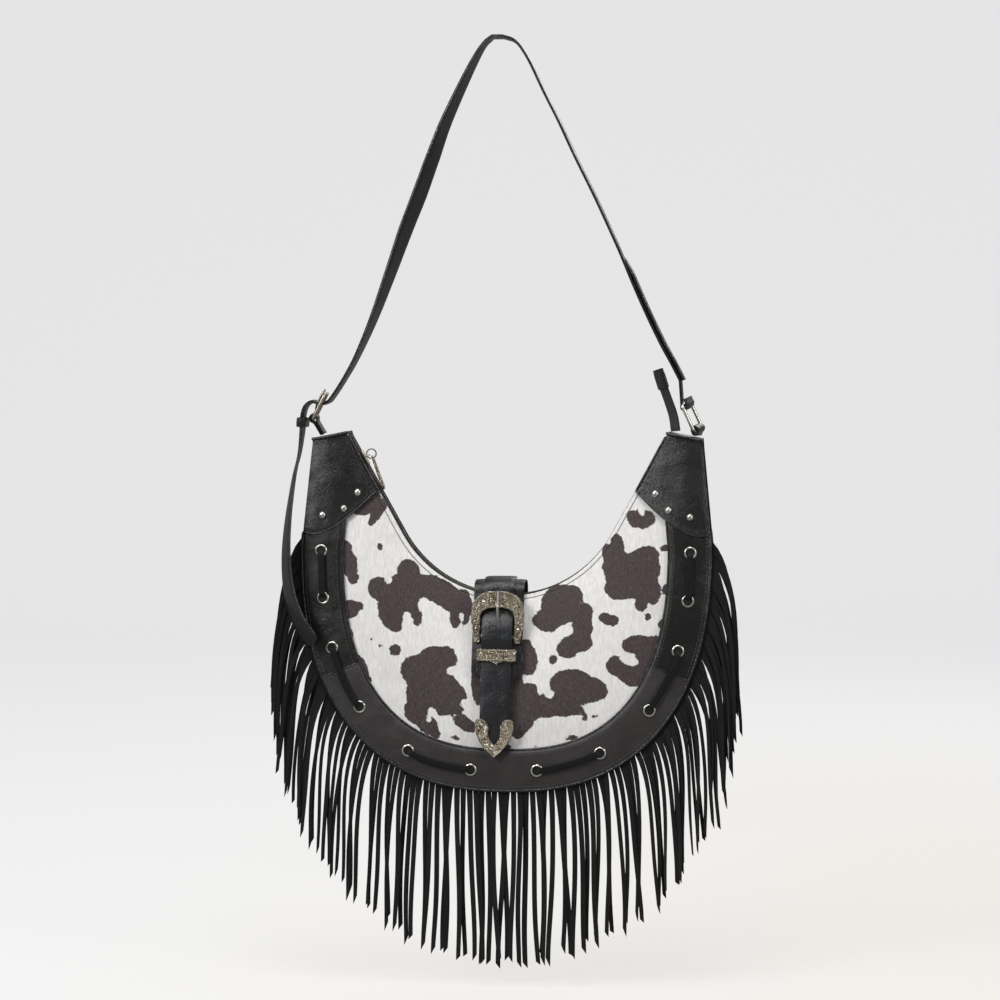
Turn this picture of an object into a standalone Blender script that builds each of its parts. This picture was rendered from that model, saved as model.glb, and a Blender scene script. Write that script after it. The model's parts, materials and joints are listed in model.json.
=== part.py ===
"""Crescent shoulder bag with horn caps, a laced band, strand fringe, a buckled closure and a strap.

Metres, +Z up, the front faces -Y. The origin is under the top of the strap, where the bag hangs.
"""
import math

import bmesh
import bpy
import numpy as np
from mathutils import Matrix, Vector

MM = 0.001
GAP = 0.3 * MM                        # air between pieces that touch

# Body outline, seen from the front, about the centre of the inner arc
BODY_PLACE = Vector((7.5, 0, -325)) * MM
INNER_RADIUS = 89.6 * MM
FLANK_ANGLE = math.radians(61)
HORN_INNER_HEIGHT = 31 * MM
HORN_OUTER_HEIGHT = 26 * MM
HORN_OUTER_HALF = 145.5 * MM
OUTER_HALF_WIDTH = 152.5 * MM
OUTER_CENTRE_DROP = 52 * MM
OUTER_DEPTH = 181.5 * MM
OUTER_POWER = 2.4

# Half depth of the body, front to middle
INNER_HALF_DEPTH = 13 * MM
INNER_HORN_HALF_DEPTH = 11 * MM
OUTER_HALF_DEPTH = 27.5 * MM
OUTER_HORN_HALF_DEPTH = 12 * MM
BULGE = 8 * MM
HORN_BULGE = 2 * MM

# Body leather
PANEL_THICKNESS = 1.6 * MM
PANEL_COLUMNS = 24
PANEL_ROWS = 4
GUSSET_THICKNESS = 1.6 * MM
GUSSET_INSET = 0.6 * MM

# Horn caps: the lower edge starts at CAP_START of the outline and ends CAP_SWEEP further at the rim
CAP_START = 0.737
CAP_SWEEP = 0.068
CAP_THIN = 1.6 * MM
CAP_THICK = 3.4 * MM
CAP_TOP_THICKNESS = 1.8 * MM
CAP_RUN_COLUMNS = 4

# Band, fringe header and lace channel, as heights over the front panel
BAND_WIDTH = 30 * MM
BAND_THICKNESS = 1.6 * MM
BAND_FOOT = 3 * MM
CHANNEL_HEIGHT = 1.3 * MM
BAND_SEAM = 0.49
BAND_EDGE_INSET = 0.5 * MM

# Eyelets along the outline, as shares of its half length
EYELET_SHARES = (0.075, 0.232, 0.391, 0.545, 0.66, 0.765)
EYELET_INSET = 15 * MM
EYELET_RADIUS = 4.5 * MM
EYELET_BORE = 2.5 * MM
EYELET_BARREL = 2.9 * MM
EYELET_RISE = 0.8 * MM
EYELET_SIDES = 8

# Lace
LACE_WIDTH = 4.2 * MM
LACE_THICKNESS = 1.0 * MM
LACE_TAIL = 12 * MM

# Rivets, as places from the body centre in X and Z
RIVET_PLACES = ((111.5, -12.6), (121.3, -24.6), (137, -29.6))
RIVET_RADIUS = 2.4 * MM
RIVET_RISE = 1.1 * MM

# Fringe
FRINGE_PITCH = 4.7 * MM
STRAND_WIDTH = 4.1 * MM
STRAND_THICKNESS = 1.0 * MM
STRAND_LENGTH = 131 * MM
STRAND_STATIONS = 3
HEADER_DEPTH = 5 * MM
FRINGE_END_SHARE = 0.80
SIDE_SPREAD = 25 * MM

# Zip
TAPE_THICKNESS = 0.8 * MM
TAPE_SINK = 0.5 * MM
TEETH_HALF_SLOT = 0.6 * MM
TEETH_WIDTH = 1.6 * MM
TEETH_BELOW = 1.6 * MM
TEETH_ABOVE = 0.6 * MM
ZIP_COLUMNS = 20
SLIDER_PLACE = 64 * MM               # up the straight flank from the end of the arc
SLIDER_LENGTH = 12 * MM
SLIDER_HALF_WIDTH = 4.2 * MM
SLIDER_PLATE = 1.4 * MM
SLIDER_POST_HALF = 0.3 * MM
BRIDGE_RISE = 3.4 * MM
BRIDGE_WIRE = 0.6 * MM
PULL_RING_RADIUS = 3.6 * MM
PULL_RING_WIRE = 0.5 * MM
PULL_TAB_LENGTH = 24 * MM
PULL_TAB_WIDTH = 8 * MM
PULL_TAB_THICKNESS = 1.6 * MM
PULL_TAB_DIP = math.radians(9)      # the tab leans in to lie on the teeth

# Strap
STRAP_WIDTH = 19 * MM
STRAP_THICKNESS = 3 * MM
STRAP_TWIST = math.radians(25)
SWING_HEIGHT = -253.5 * MM
STRAP_END_STEPS = (15, 35, 55, 72)

# Strap hardware
WIRE_RADIUS = 1.3 * MM
RING_PLACE = Vector((145.1, 0, -280.5)) * MM
RING_LEAN = math.radians(25)
RING_TWIST = math.radians(15)
RING_HALF_LENGTH = 10.3 * MM
FRAME_PLACE = Vector((-134.8, 0, -273.4)) * MM
FRAME_LEAN = math.radians(-26.5)
FRAME_TWIST = math.radians(-5)
FRAME_HALF_LENGTH = 10.0 * MM
BUCKLE_HALF_WIDTH = 12 * MM
TAB_WIDTH = 17 * MM
TAB_THICKNESS = 1.8 * MM

# Closure, with heights over the front panel
CLOSURE_X = -5 * MM
CLOSURE_LEAN = math.radians(-0.9)
FLAP_WIDTH = 37.5 * MM
FLAP_THICKNESS = 1.8 * MM
FLAP_ARCH = 9.5 * MM
FLAP_LENGTH = 60 * MM
FLAP_BACK_DROP = 1 * MM
ANCHOR_LENGTH = 34 * MM
SNAP_RADIUS = 7 * MM
SNAP_RISE = 0.6 * MM
BELT_WIDTH = 22.5 * MM
BELT_THICKNESS = 2.0 * MM
BELT_LENGTH = 117 * MM
FRAME_BAR_DROP = 34 * MM
ARCH_THICKNESS = 2.6 * MM
ARCH_HEIGHT = 38.6 * MM
ARCH_HALF_WIDTH = 20 * MM
ARCH_BAND = 12.4 * MM
ARM_END = 4 * MM
ARCH_OPENING_HALF = 12.9 * MM
BAR_RADIUS = 1.0 * MM
PRONG_RADIUS = 0.9 * MM
KEEPER_DROP = 43.3 * MM
FRAME_BAR_RISE = 5 * MM
SNAP_DROP = 48 * MM
SLOT_DROP = 14.5 * MM
SLOT_HALF_LENGTH = 6.5 * MM
SLOT_HALF_WIDTH = 1.4 * MM
FRAME_CORNER = 2 * MM
KEEPER_HEIGHT = 9 * MM
KEEPER_HALF_WIDTH = 14.6 * MM
KEEPER_POINT = 2 * MM
METAL_PLATE = 1.5 * MM

FRONT = -1
BACK = 1


def material(name, colour, roughness, metallic=0.0):
    """A Principled material."""
    made = bpy.data.materials.new(name)
    made.use_nodes = True
    shader = made.node_tree.nodes["Principled BSDF"]
    shader.inputs["Base Color"].default_value = (*colour, 1)
    shader.inputs["Roughness"].default_value = roughness
    shader.inputs["Metallic"].default_value = metallic
    made.diffuse_color = (*colour, 1)
    return made


def finish(name, mesh, surface, parent):
    """An object from a bmesh, smooth with sharp edges kept."""
    mesh.normal_update()
    bmesh.ops.recalc_face_normals(mesh, faces=mesh.faces)
    if mesh.calc_volume(signed=True) < 0:
        bmesh.ops.reverse_faces(mesh, faces=mesh.faces)
    data = bpy.data.meshes.new(name)
    mesh.to_mesh(data)
    mesh.free()
    data.shade_smooth()
    data.set_sharp_from_angle(angle=math.radians(35))
    data.materials.append(surface)
    made = bpy.data.objects.new(name, data)
    bpy.context.collection.objects.link(made)
    made.parent = parent
    return made


def empty(name, place, parent=None):
    """A named frame that carries pieces."""
    made = bpy.data.objects.new(name, None)
    made.location = place
    made.parent = parent
    bpy.context.collection.objects.link(made)
    return made


def slab(columns, rows, upper, lower):
    """A grid bent onto upper(u, v) and extruded to lower(u, v); u and v run from 0 to 1."""
    mesh = bmesh.new()
    bmesh.ops.create_grid(mesh, x_segments=columns, y_segments=rows, size=0.5)
    for key in ("u", "v", "low"):
        mesh.verts.layers.float.new(key)
    layers = mesh.verts.layers.float
    for vert in mesh.verts:
        vert[layers["u"]] = round((vert.co.x + 0.5) * columns) / columns
        vert[layers["v"]] = round((vert.co.y + 0.5) * rows) / rows
    made = bmesh.ops.extrude_face_region(mesh, geom=mesh.faces[:])["geom"]
    for item in made:
        if isinstance(item, bmesh.types.BMVert):
            item[layers["low"]] = 1
    for vert in mesh.verts:
        rule = lower if vert[layers["low"]] else upper
        vert.co = rule(vert[layers["u"]], vert[layers["v"]])
    return mesh


def measured(points):
    """Points of a path with the length up to each."""
    points = np.array(points)
    steps = np.linalg.norm(np.diff(points, axis=0), axis=1)
    return points, np.concatenate(([0], np.cumsum(steps)))


def inner_half():
    """The right half of the zip line, from the bottom of the arc to the tip of the horn."""
    turn = np.linspace(0, FLANK_ANGLE, 60)
    arc = [(INNER_RADIUS * math.sin(a), -INNER_RADIUS * math.cos(a)) for a in turn]
    rise = HORN_INNER_HEIGHT - arc[-1][1]
    flank = np.linspace(0, rise, 30)[1:]
    return arc + [(arc[-1][0] + z / math.tan(FLANK_ANGLE), arc[-1][1] + z) for z in flank]


def outer_half():
    """The right half of the outer edge, from the bottom to the tip of the horn."""
    turn = np.linspace(0, math.pi / 2, 160)
    curve = []
    for angle in turn:
        x = OUTER_HALF_WIDTH * math.sin(angle) ** (2 / OUTER_POWER)
        z = -OUTER_CENTRE_DROP - OUTER_DEPTH * max(math.cos(angle), 0) ** (2 / OUTER_POWER)
        curve.append((x, z))
    for share in np.linspace(0, 1, 30)[1:]:
        x = OUTER_HALF_WIDTH + (HORN_OUTER_HALF - OUTER_HALF_WIDTH) * share
        curve.append((x, -OUTER_CENTRE_DROP + (HORN_OUTER_HEIGHT + OUTER_CENTRE_DROP) * share))
    return curve


INNER = measured(inner_half())
OUTER = measured(outer_half())
LOWEST = -OUTER_CENTRE_DROP - OUTER_DEPTH


def along(outline, share):
    """The point at a share of an outline's half length; a negative share is on the left."""
    points, lengths = outline
    reach = min(abs(share), 1) * lengths[-1]
    x = float(np.interp(reach, lengths, points[:, 0]))
    z = float(np.interp(reach, lengths, points[:, 1]))
    return Vector((math.copysign(x, share), 0, z))


def heading(outline, share):
    """The unit direction along an outline, towards the right."""
    step = 0.004
    run = along(outline, min(share + step, 1)) - along(outline, max(share - step, -1))
    return run.normalized()


def inward(outline, share):
    """The unit normal of an outline in the XZ plane, upwards at the bottom."""
    run = heading(outline, share)
    return Vector((-run.z, 0, run.x))


def distance(outline, x, z):
    """How far a place lies from an outline."""
    points = outline[0]
    spot = np.array((abs(x), z))
    start = points[:-1]
    run = points[1:] - start
    share = np.clip(((spot - start) * run).sum(1) / (run * run).sum(1), 0, 1)
    return float(np.linalg.norm(spot - start - share[:, None] * run, axis=1).min())


def half_depth(x, z):
    """Half the body's depth at a place on its front."""
    rise = min(max((z - LOWEST) / (HORN_OUTER_HEIGHT - LOWEST), 0), 1)
    inner_rise = min(max((z + INNER_RADIUS) / (HORN_INNER_HEIGHT + INNER_RADIUS), 0), 1)
    inner = INNER_HALF_DEPTH + (INNER_HORN_HALF_DEPTH - INNER_HALF_DEPTH) * inner_rise
    outer = OUTER_HORN_HALF_DEPTH + (OUTER_HALF_DEPTH - OUTER_HORN_HALF_DEPTH) * (1 - rise ** 2)
    bulge = HORN_BULGE + (BULGE - HORN_BULGE) * (1 - rise ** 2)
    from_inner = distance(INNER, x, z)
    from_outer = distance(OUTER, x, z)
    share = from_inner / (from_inner + from_outer)
    return inner + (outer - inner) * share + 4 * bulge * share * (1 - share)


def surface_normal(x, z, side):
    """The outward normal of the body's front or back."""
    step = 0.5 * MM
    slope_x = (half_depth(x + step, z) - half_depth(x - step, z)) / (2 * step)
    slope_z = (half_depth(x, z + step) - half_depth(x, z - step)) / (2 * step)
    return Vector((-slope_x, side, -slope_z)).normalized()


def on_body(place, lift, side=FRONT):
    """A point over the body's front or back, lifted off it along its normal."""
    base = Vector((place.x, side * half_depth(place.x, place.z), place.z))
    return base + surface_normal(place.x, place.z, side) * lift


def across_body(u, v):
    """The place at u along the body, -1 to 1, and v from the zip line to the outer edge."""
    return along(INNER, u).lerp(along(OUTER, u), v)


def from_rim(u, inset):
    """The place at u along the outer edge, a length inside it."""
    return along(OUTER, u) + inward(OUTER, u) * inset


def panel(name, side, surface, parent):
    """The front or back of the bag."""
    def at(lift):
        return lambda u, v: on_body(across_body(2 * u - 1, v), lift, side)
    mesh = slab(PANEL_COLUMNS, PANEL_ROWS, at(0), at(-PANEL_THICKNESS))
    return finish(name, mesh, surface, parent)


def gusset(surface, parent):
    """The outer wall between front and back."""
    def at(inset):
        def rule(u, v):
            place = from_rim(2 * u - 1, inset)
            rim = along(OUTER, 2 * u - 1)
            reach = half_depth(rim.x, rim.z) - PANEL_THICKNESS - 2 * GAP
            return place + Vector((0, (2 * v - 1) * reach, 0))
        return rule
    mesh = slab(PANEL_COLUMNS, 1, at(GUSSET_INSET), at(GUSSET_INSET + GUSSET_THICKNESS))
    return finish("gusset", mesh, surface, parent)


def cap_low(v):
    """Where a horn cap's lower edge crosses the body."""
    return CAP_START + CAP_SWEEP * v ** 3


def cap_thickness(v):
    """A horn cap's thickness at its lower edge: thin over the panel, thick beside the band."""
    return CAP_THIN + (CAP_THICK - CAP_THIN) * v * v * (3 - 2 * v)


def cap_top_direction(hand):
    """Straight up out of a horn's end."""
    run = along(OUTER, hand) - along(INNER, hand)
    up = Vector((-run.z, 0, run.x))
    return (up if up.z > 0 else -up).normalized()


def horn_cap(name, hand, surface, parent):
    """A leather cap folded over the end of a horn, from the front over the top to the back."""
    up = cap_top_direction(hand)
    rows = 2 * CAP_RUN_COLUMNS + 2

    def at(upper, top):
        def rule(u, v):
            row = round(u * rows)
            lift = GAP + upper * cap_thickness(v)
            if row == CAP_RUN_COLUMNS + 1:
                return across_body(hand, v) + up * top
            side = FRONT if row <= CAP_RUN_COLUMNS else BACK
            step = min(row, rows - row) / CAP_RUN_COLUMNS
            place = across_body(hand * (cap_low(v) + (1 - cap_low(v)) * step), v)
            lift = lift * (1 - step) + top * step
            point = on_body(place, lift, side)
            return point + up * top if step == 1 else point
        return rule
    mesh = slab(rows, 4, at(1, GAP + CAP_TOP_THICKNESS), at(0, GAP))
    return finish(name, mesh, surface, parent)


def band_height(inset):
    """The height of the band's underside at a length inside the outer edge."""
    if inset > BAND_WIDTH - BAND_FOOT:
        return GAP
    return CHANNEL_HEIGHT + GAP


def band_top(inset):
    """The height of the band's upper face, lower at its turned edges."""
    edge = min(inset, BAND_WIDTH - inset) / BAND_FOOT
    return CHANNEL_HEIGHT + GAP + BAND_THICKNESS * (0.6 + 0.4 * min(edge, 1))


BAND_ROWS = (0, 0.1, 0.5, 0.9, 0.91, 1)


def band_section(name, start, end, columns, surface, parent):
    """A length of the laced band, with holes for its eyelets."""
    def at(height):
        def rule(u, v):
            inset = BAND_EDGE_INSET + (BAND_WIDTH - BAND_EDGE_INSET) * BAND_ROWS[round(v * 5)]
            return on_body(from_rim(start + (end - start) * u, inset), height(inset))
        return rule
    made = finish(name, slab(columns, 5, at(band_top), at(band_height)), surface, parent)
    for hand in (-1, 1):
        for share in EYELET_SHARES:
            if start < hand * share < end:
                punch(made, eyelet_frame(hand * share), EYELET_BARREL + GAP)
    return made


def eyelet_frame(share):
    """The frame of an eyelet: on the band's upper face, +Z out of the bag."""
    place = from_rim(share, EYELET_INSET)
    normal = surface_normal(place.x, place.z, FRONT)
    frame = normal.to_track_quat("Z", "Y").to_matrix().to_4x4()
    frame.translation = on_body(place, band_top(EYELET_INSET))
    return frame


def punch(target, frame, radius):
    """A round hole through a piece, along the frame's Z."""
    mesh = bmesh.new()
    bmesh.ops.create_cone(mesh, cap_ends=True, segments=EYELET_SIDES, radius1=radius, radius2=radius,
                          depth=8 * MM, matrix=frame)
    cutter = finish(target.name + "_punch", mesh, target.data.materials[0], target.parent)
    cut(target, cutter)


def cut(target, cutter):
    """A Boolean cut that stays on the piece."""
    cutter.display_type = "WIRE"
    cutter.hide_render = True
    step = target.modifiers.new(cutter.name, "BOOLEAN")
    step.operation = "DIFFERENCE"
    step.object = cutter


def turned(name, profile, sides, frame, surface, parent):
    """A ring or dome turned from a closed or axis-ended profile of radius and height."""
    mesh = bmesh.new()
    verts = [mesh.verts.new((radius, 0, height)) for radius, height in profile]
    for a, b in zip(verts, verts[1:]):
        mesh.edges.new((a, b))
    if profile[0][0] > 0:
        mesh.edges.new((verts[-1], verts[0]))
    bmesh.ops.spin(mesh, geom=mesh.verts[:] + mesh.edges[:], axis=(0, 0, 1), cent=(0, 0, 0),
                   angle=2 * math.pi, steps=sides, use_merge=True)
    bmesh.ops.remove_doubles(mesh, verts=mesh.verts, dist=0.01 * MM)
    bmesh.ops.transform(mesh, matrix=frame, verts=mesh.verts)
    return finish(name, mesh, surface, parent)


def eyelet(name, share, surface, parent):
    """A flanged eyelet whose barrel passes through the band."""
    profile = ((EYELET_BORE, -BAND_THICKNESS + GAP), (EYELET_BARREL, -BAND_THICKNESS + GAP),
               (EYELET_BARREL, GAP), (EYELET_RADIUS, GAP), (EYELET_BARREL, GAP + EYELET_RISE))
    return turned(name, profile, EYELET_SIDES, eyelet_frame(share), surface, parent)


def rivet(name, hand, place, surface, parent):
    """A domed rivet on a horn cap."""
    spot = Vector((hand * place[0], 0, place[1])) * MM
    normal = surface_normal(spot.x, spot.z, FRONT)
    frame = normal.to_track_quat("Z", "Y").to_matrix().to_4x4()
    from_inner = distance(INNER, spot.x, spot.z)
    share = from_inner / (from_inner + distance(OUTER, spot.x, spot.z))
    frame.translation = on_body(spot, cap_thickness(share) + 2 * GAP)
    profile = ((0, 0), (RIVET_RADIUS, 0), (0.75 * RIVET_RADIUS, 0.7 * RIVET_RISE), (0, RIVET_RISE))
    return turned(name, profile, 8, frame, surface, parent)


def strip(name, stations, thickness, surface, parent):
    """A strip swept along stations of middle, half width vector and face normal."""
    def at(side):
        def rule(u, v):
            middle, half, normal = stations[round(u * (len(stations) - 1))]
            return middle + half * (2 * v - 1) + normal * (side * thickness / 2)
        return rule
    mesh = slab(len(stations) - 1, 1, at(1), at(-1))
    return finish(name, mesh, surface, parent)


def route_stations(points, half_width, twists, across=Vector((0, 1, 0))):
    """Stations along a route, its width turned by a twist at each point, from the across direction."""
    stations = []
    for index, point in enumerate(points):
        before = points[max(index - 1, 0)]
        after = points[min(index + 1, len(points) - 1)]
        run = (after - before).normalized()
        level = (across - run * across.dot(run)).normalized()
        level.rotate(Matrix.Rotation(twists[index], 3, run))
        normal = run.cross(level)
        stations.append((point, level * half_width, normal))
    return stations


def lace_stations():
    """The lace's route: over the band between the eyelets of a pair, under it between the pairs."""
    over = CHANNEL_HEIGHT + GAP + BAND_THICKNESS + GAP + EYELET_RISE + GAP + LACE_THICKNESS / 2
    under = GAP + LACE_THICKNESS / 2
    tail = LACE_TAIL / OUTER[1][-1]
    shares = [-s for s in reversed(EYELET_SHARES)] + list(EYELET_SHARES)
    legs = [(shares[0] - tail, under)]
    for index, share in enumerate(shares):
        heights = (under, over) if index % 2 == 0 else (over, under)
        legs += [(share, heights[0]), (share, heights[1])]
        if index + 1 < len(shares):
            legs.append(((share + shares[index + 1]) / 2, heights[1]))
    legs.append((shares[-1] + tail, under))
    points = [on_body(from_rim(share, EYELET_INSET), height) for share, height in legs]
    stations = []
    for index, (share, height) in enumerate(legs):
        place = from_rim(share, EYELET_INSET)
        normal = surface_normal(place.x, place.z, FRONT)
        run = heading(OUTER, share)
        half = normal.cross(run).normalized() * LACE_WIDTH / 2
        before = points[max(index - 1, 0)]
        after = points[min(index + 1, len(points) - 1)]
        incoming = (points[index] - before).normalized()
        outgoing = (after - points[index]).normalized()
        mean = (incoming + outgoing).normalized()
        face = mean.cross(half).normalized()
        inside = 0 < index < len(legs) - 1
        stretch = 1 / max(math.sqrt((1 + incoming.dot(outgoing)) / 2), 0.6) if inside else 1
        stations.append((points[index], half, face * stretch))
    return stations


def strand_columns():
    """Each strand's share of the outline, column in X and twist, from the bottom outwards."""
    length = OUTER[1][-1]
    count = int(FRINGE_END_SHARE * length / FRINGE_PITCH)
    columns = []
    column = FRINGE_PITCH / 2
    for index in range(count):
        share = (index + 0.5) * FRINGE_PITCH / length
        base = along(OUTER, share)
        side = max(0.0, (share - 0.5) / (FRINGE_END_SHARE - 0.5))
        target = base.x + SIDE_SPREAD * side ** 1.5 + 1.5 * MM * math.sin(2.1 * index) * (1 - side)
        spacing = max(target - column, STRAND_THICKNESS + GAP + 0.1 * MM)
        if index:
            column += spacing
        room = min((spacing - GAP) / STRAND_WIDTH, 1)
        columns.append((share, column, math.acos(min(room, 0.97))))
    return columns


def strand_corner(hand, base, out, column, twist, level, edge, station):
    """A corner of a strand's section, a number of stations below its seam."""
    reach = STRAND_LENGTH * station / STRAND_STATIONS
    share = station / STRAND_STATIONS
    settle = 1 - math.exp(-reach / (20 * MM))
    x = base.x + (column - base.x) * settle
    drop = reach - (column - base.x) * 0.4 * settle + (1 - abs(out.z)) * -4 * MM * settle
    sway = 2.0 * MM * math.sin(column / MM * 0.7) * share
    middle = Vector((hand * x, base.y + sway * 0.5, base.z - drop))
    turn = twist * min(share * 2, 1)
    half = Vector((hand * math.cos(turn), math.sin(turn), 0)) * STRAND_WIDTH / 2
    face = Vector((-hand * math.sin(turn), math.cos(turn), 0)) * STRAND_THICKNESS / 2
    slant = Vector((0, 0, -3 * MM)) * (share == 1) * (edge + 1)
    return middle + half * edge - face * level + slant


def fringe(surface, parent):
    """A suede strip sewn under the band's rim and cut into strands."""
    columns = strand_columns()
    signed = [(-share, column, twist, -1) for share, column, twist in reversed(columns)]
    signed += [(share, column, twist, 1) for share, column, twist in columns]
    half = STRAND_WIDTH / 2 / OUTER[1][-1]
    edges = []
    for share, column, twist, hand in signed:
        edges += [share - half, share + half]
    segments = len(edges) - 1

    def at(lift):
        def rule(u, v):
            inset = BAND_EDGE_INSET + HEADER_DEPTH * v
            return on_body(from_rim(edges[round(u * segments)], inset), lift)
        return rule
    mesh = slab(segments, 1, at(GAP + STRAND_THICKNESS), at(GAP))
    layers = mesh.verts.layers.float
    mesh.faces.ensure_lookup_table()
    rim = {}
    for face in mesh.faces:
        if all(vert[layers["v"]] == 0 for vert in face.verts):
            spots = {round(vert[layers["u"]] * segments) for vert in face.verts}
            if min(spots) % 2 == 0:
                rim[min(spots) // 2] = face
    for index, (share, column, twist, hand) in enumerate(signed):
        face = rim[index]
        base = on_body(along(OUTER, share), GAP + STRAND_THICKNESS / 2)
        base.x = abs(base.x)
        out = -inward(OUTER, share)
        for station in range(1, STRAND_STATIONS + 1):
            made = bmesh.ops.extrude_face_region(mesh, geom=[face])["geom"]
            bmesh.ops.delete(mesh, geom=[face], context="FACES_ONLY")
            face = next(item for item in made if isinstance(item, bmesh.types.BMFace))
            for vert in face.verts:
                right = round(vert[layers["u"]] * segments) % 2
                edge = (1 if right else -1) * hand
                level = -1 if vert[layers["low"]] else 1
                vert.co = strand_corner(hand, base, out, column, twist, level, edge, station)
    return finish("fringe", mesh, surface, parent)


def zip_frame(share):
    """A point of the zip line with its direction and the direction out of the bag."""
    return along(INNER, share), heading(INNER, share), inward(INNER, share)


def zip_tape(name, side, surface, parent):
    """One side of the zip's tape."""
    def at(sink):
        def rule(u, v):
            place, run, out = zip_frame(2 * u - 1)
            edge = half_depth(place.x, place.z) - 1.5 * PANEL_THICKNESS
            start = TEETH_HALF_SLOT + TEETH_WIDTH + GAP
            return place - out * sink + Vector((0, side * (start + (edge - start) * v), 0))
        return rule
    mesh = slab(ZIP_COLUMNS, 1, at(TAPE_SINK), at(TAPE_SINK + TAPE_THICKNESS))
    return finish(name, mesh, surface, parent)


def zip_teeth(name, side, surface, parent):
    """One row of the zip's teeth."""
    def at(rise):
        def rule(u, v):
            place, run, out = zip_frame(2 * u - 1)
            reach = TEETH_HALF_SLOT + TEETH_WIDTH * v
            return place + out * rise + Vector((0, side * reach, 0))
        return rule
    mesh = slab(ZIP_COLUMNS, 1, at(TEETH_ABOVE), at(-TEETH_BELOW))
    return finish(name, mesh, surface, parent)


def flank_frame():
    """The zip line at the slider: place, direction down the flank and direction out of the bag."""
    start = along(INNER, -INNER_RADIUS * FLANK_ANGLE / INNER[1][-1])
    down = Vector((math.cos(FLANK_ANGLE), 0, -math.sin(FLANK_ANGLE)))
    out = Vector((math.sin(FLANK_ANGLE), 0, math.cos(FLANK_ANGLE)))
    return start - down * SLIDER_PLACE, down, out


def extruded(name, outline, depth, frame, surface, parent, bevel=0.0):
    """A plate: an outline in the frame's XY plane, extruded along its Z."""
    mesh = bmesh.new()
    face = mesh.faces.new([mesh.verts.new((x, y, 0)) for x, y in outline])
    made = bmesh.ops.extrude_face_region(mesh, geom=[face])["geom"]
    lifted = [item for item in made if isinstance(item, bmesh.types.BMVert)]
    bmesh.ops.translate(mesh, verts=lifted, vec=(0, 0, depth))
    if bevel:
        rim = {edge for vert in lifted for edge in vert.link_edges if edge.other_vert(vert) in lifted}
        bmesh.ops.bevel(mesh, geom=list(rim), offset=bevel, offset_type="OFFSET", segments=1,
                        profile=0.5, affect="EDGES", material=-1)
    bmesh.ops.transform(mesh, matrix=frame, verts=mesh.verts)
    return finish(name, mesh, surface, parent)


def frame_of(origin, x_axis, y_axis):
    """A matrix from an origin and two axes."""
    z_axis = x_axis.cross(y_axis)
    made = Matrix((x_axis, y_axis, z_axis)).transposed().to_4x4()
    made.translation = origin
    return made


def joined(target, other):
    """A Boolean union that makes two shapes one body; the other is a guide."""
    other.display_type = "WIRE"
    other.hide_render = True
    step = target.modifiers.new(other.name, "BOOLEAN")
    step.operation = "UNION"
    step.object = other


def wire(name, points, radius, surface, parent, cyclic=False, resolution=1):
    """A round wire through points, with filled ends."""
    data = bpy.data.curves.new(name, "CURVE")
    data.dimensions = "3D"
    data.bevel_depth = radius
    data.bevel_resolution = resolution
    data.use_fill_caps = True
    line = data.splines.new("POLY")
    line.points.add(len(points) - 1)
    for spot, point in zip(line.points, points):
        spot.co = (*point, 1)
    line.use_cyclic_u = cyclic
    data.materials.append(surface)
    made = bpy.data.objects.new(name, data)
    bpy.context.collection.objects.link(made)
    made.parent = parent
    return made


def arc_points(centre, radius, start, end, count, x_axis, y_axis):
    """Points on an arc in the plane of two axes."""
    points = []
    for step in range(count):
        angle = start + (end - start) * step / (count - 1)
        points.append(centre + x_axis * (radius * math.cos(angle)) + y_axis * (radius * math.sin(angle)))
    return points


def zip_slider(place, down, out, surface, parent):
    """The slider: plates over and under the teeth, joined by a post between the rows, and a bridge."""
    top = TEETH_ABOVE + GAP
    low = -TEETH_BELOW - GAP
    half = SLIDER_HALF_WIDTH
    post = SLIDER_POST_HALF
    outline = ((half, top), (half, top + SLIDER_PLATE), (-half, top + SLIDER_PLATE), (-half, top),
               (-post, top), (-post, low), (-half * 0.8, low), (-half * 0.8, low - SLIDER_PLATE),
               (half * 0.8, low - SLIDER_PLATE), (half * 0.8, low), (post, low), (post, top))
    frame = frame_of(place + down * SLIDER_LENGTH / 2, Vector((0, -1, 0)), out)
    body = extruded("zip_slider", outline, SLIDER_LENGTH, frame, surface, parent)
    foot = top + SLIDER_PLATE * 0.5
    side = Vector((0, 1, 0))
    arch = [place + out * foot - side * 2.2 * MM, place + out * (foot + BRIDGE_RISE) - side * 1.5 * MM,
            place + out * (foot + BRIDGE_RISE) + side * 1.5 * MM, place + out * foot + side * 2.2 * MM]
    bridge = wire("zip_slider_bridge", arch, BRIDGE_WIRE, surface, parent, resolution=0)
    joined(body, bridge_mesh(bridge))
    return body


def bridge_mesh(curve):
    """A curve's tube as a mesh guide, because a Boolean takes meshes only."""
    data = bpy.data.meshes.new_from_object(curve)
    made = bpy.data.objects.new(curve.name + "_guide", data)
    bpy.context.collection.objects.link(made)
    made.parent = curve.parent
    bpy.data.objects.remove(curve)
    return made


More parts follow.
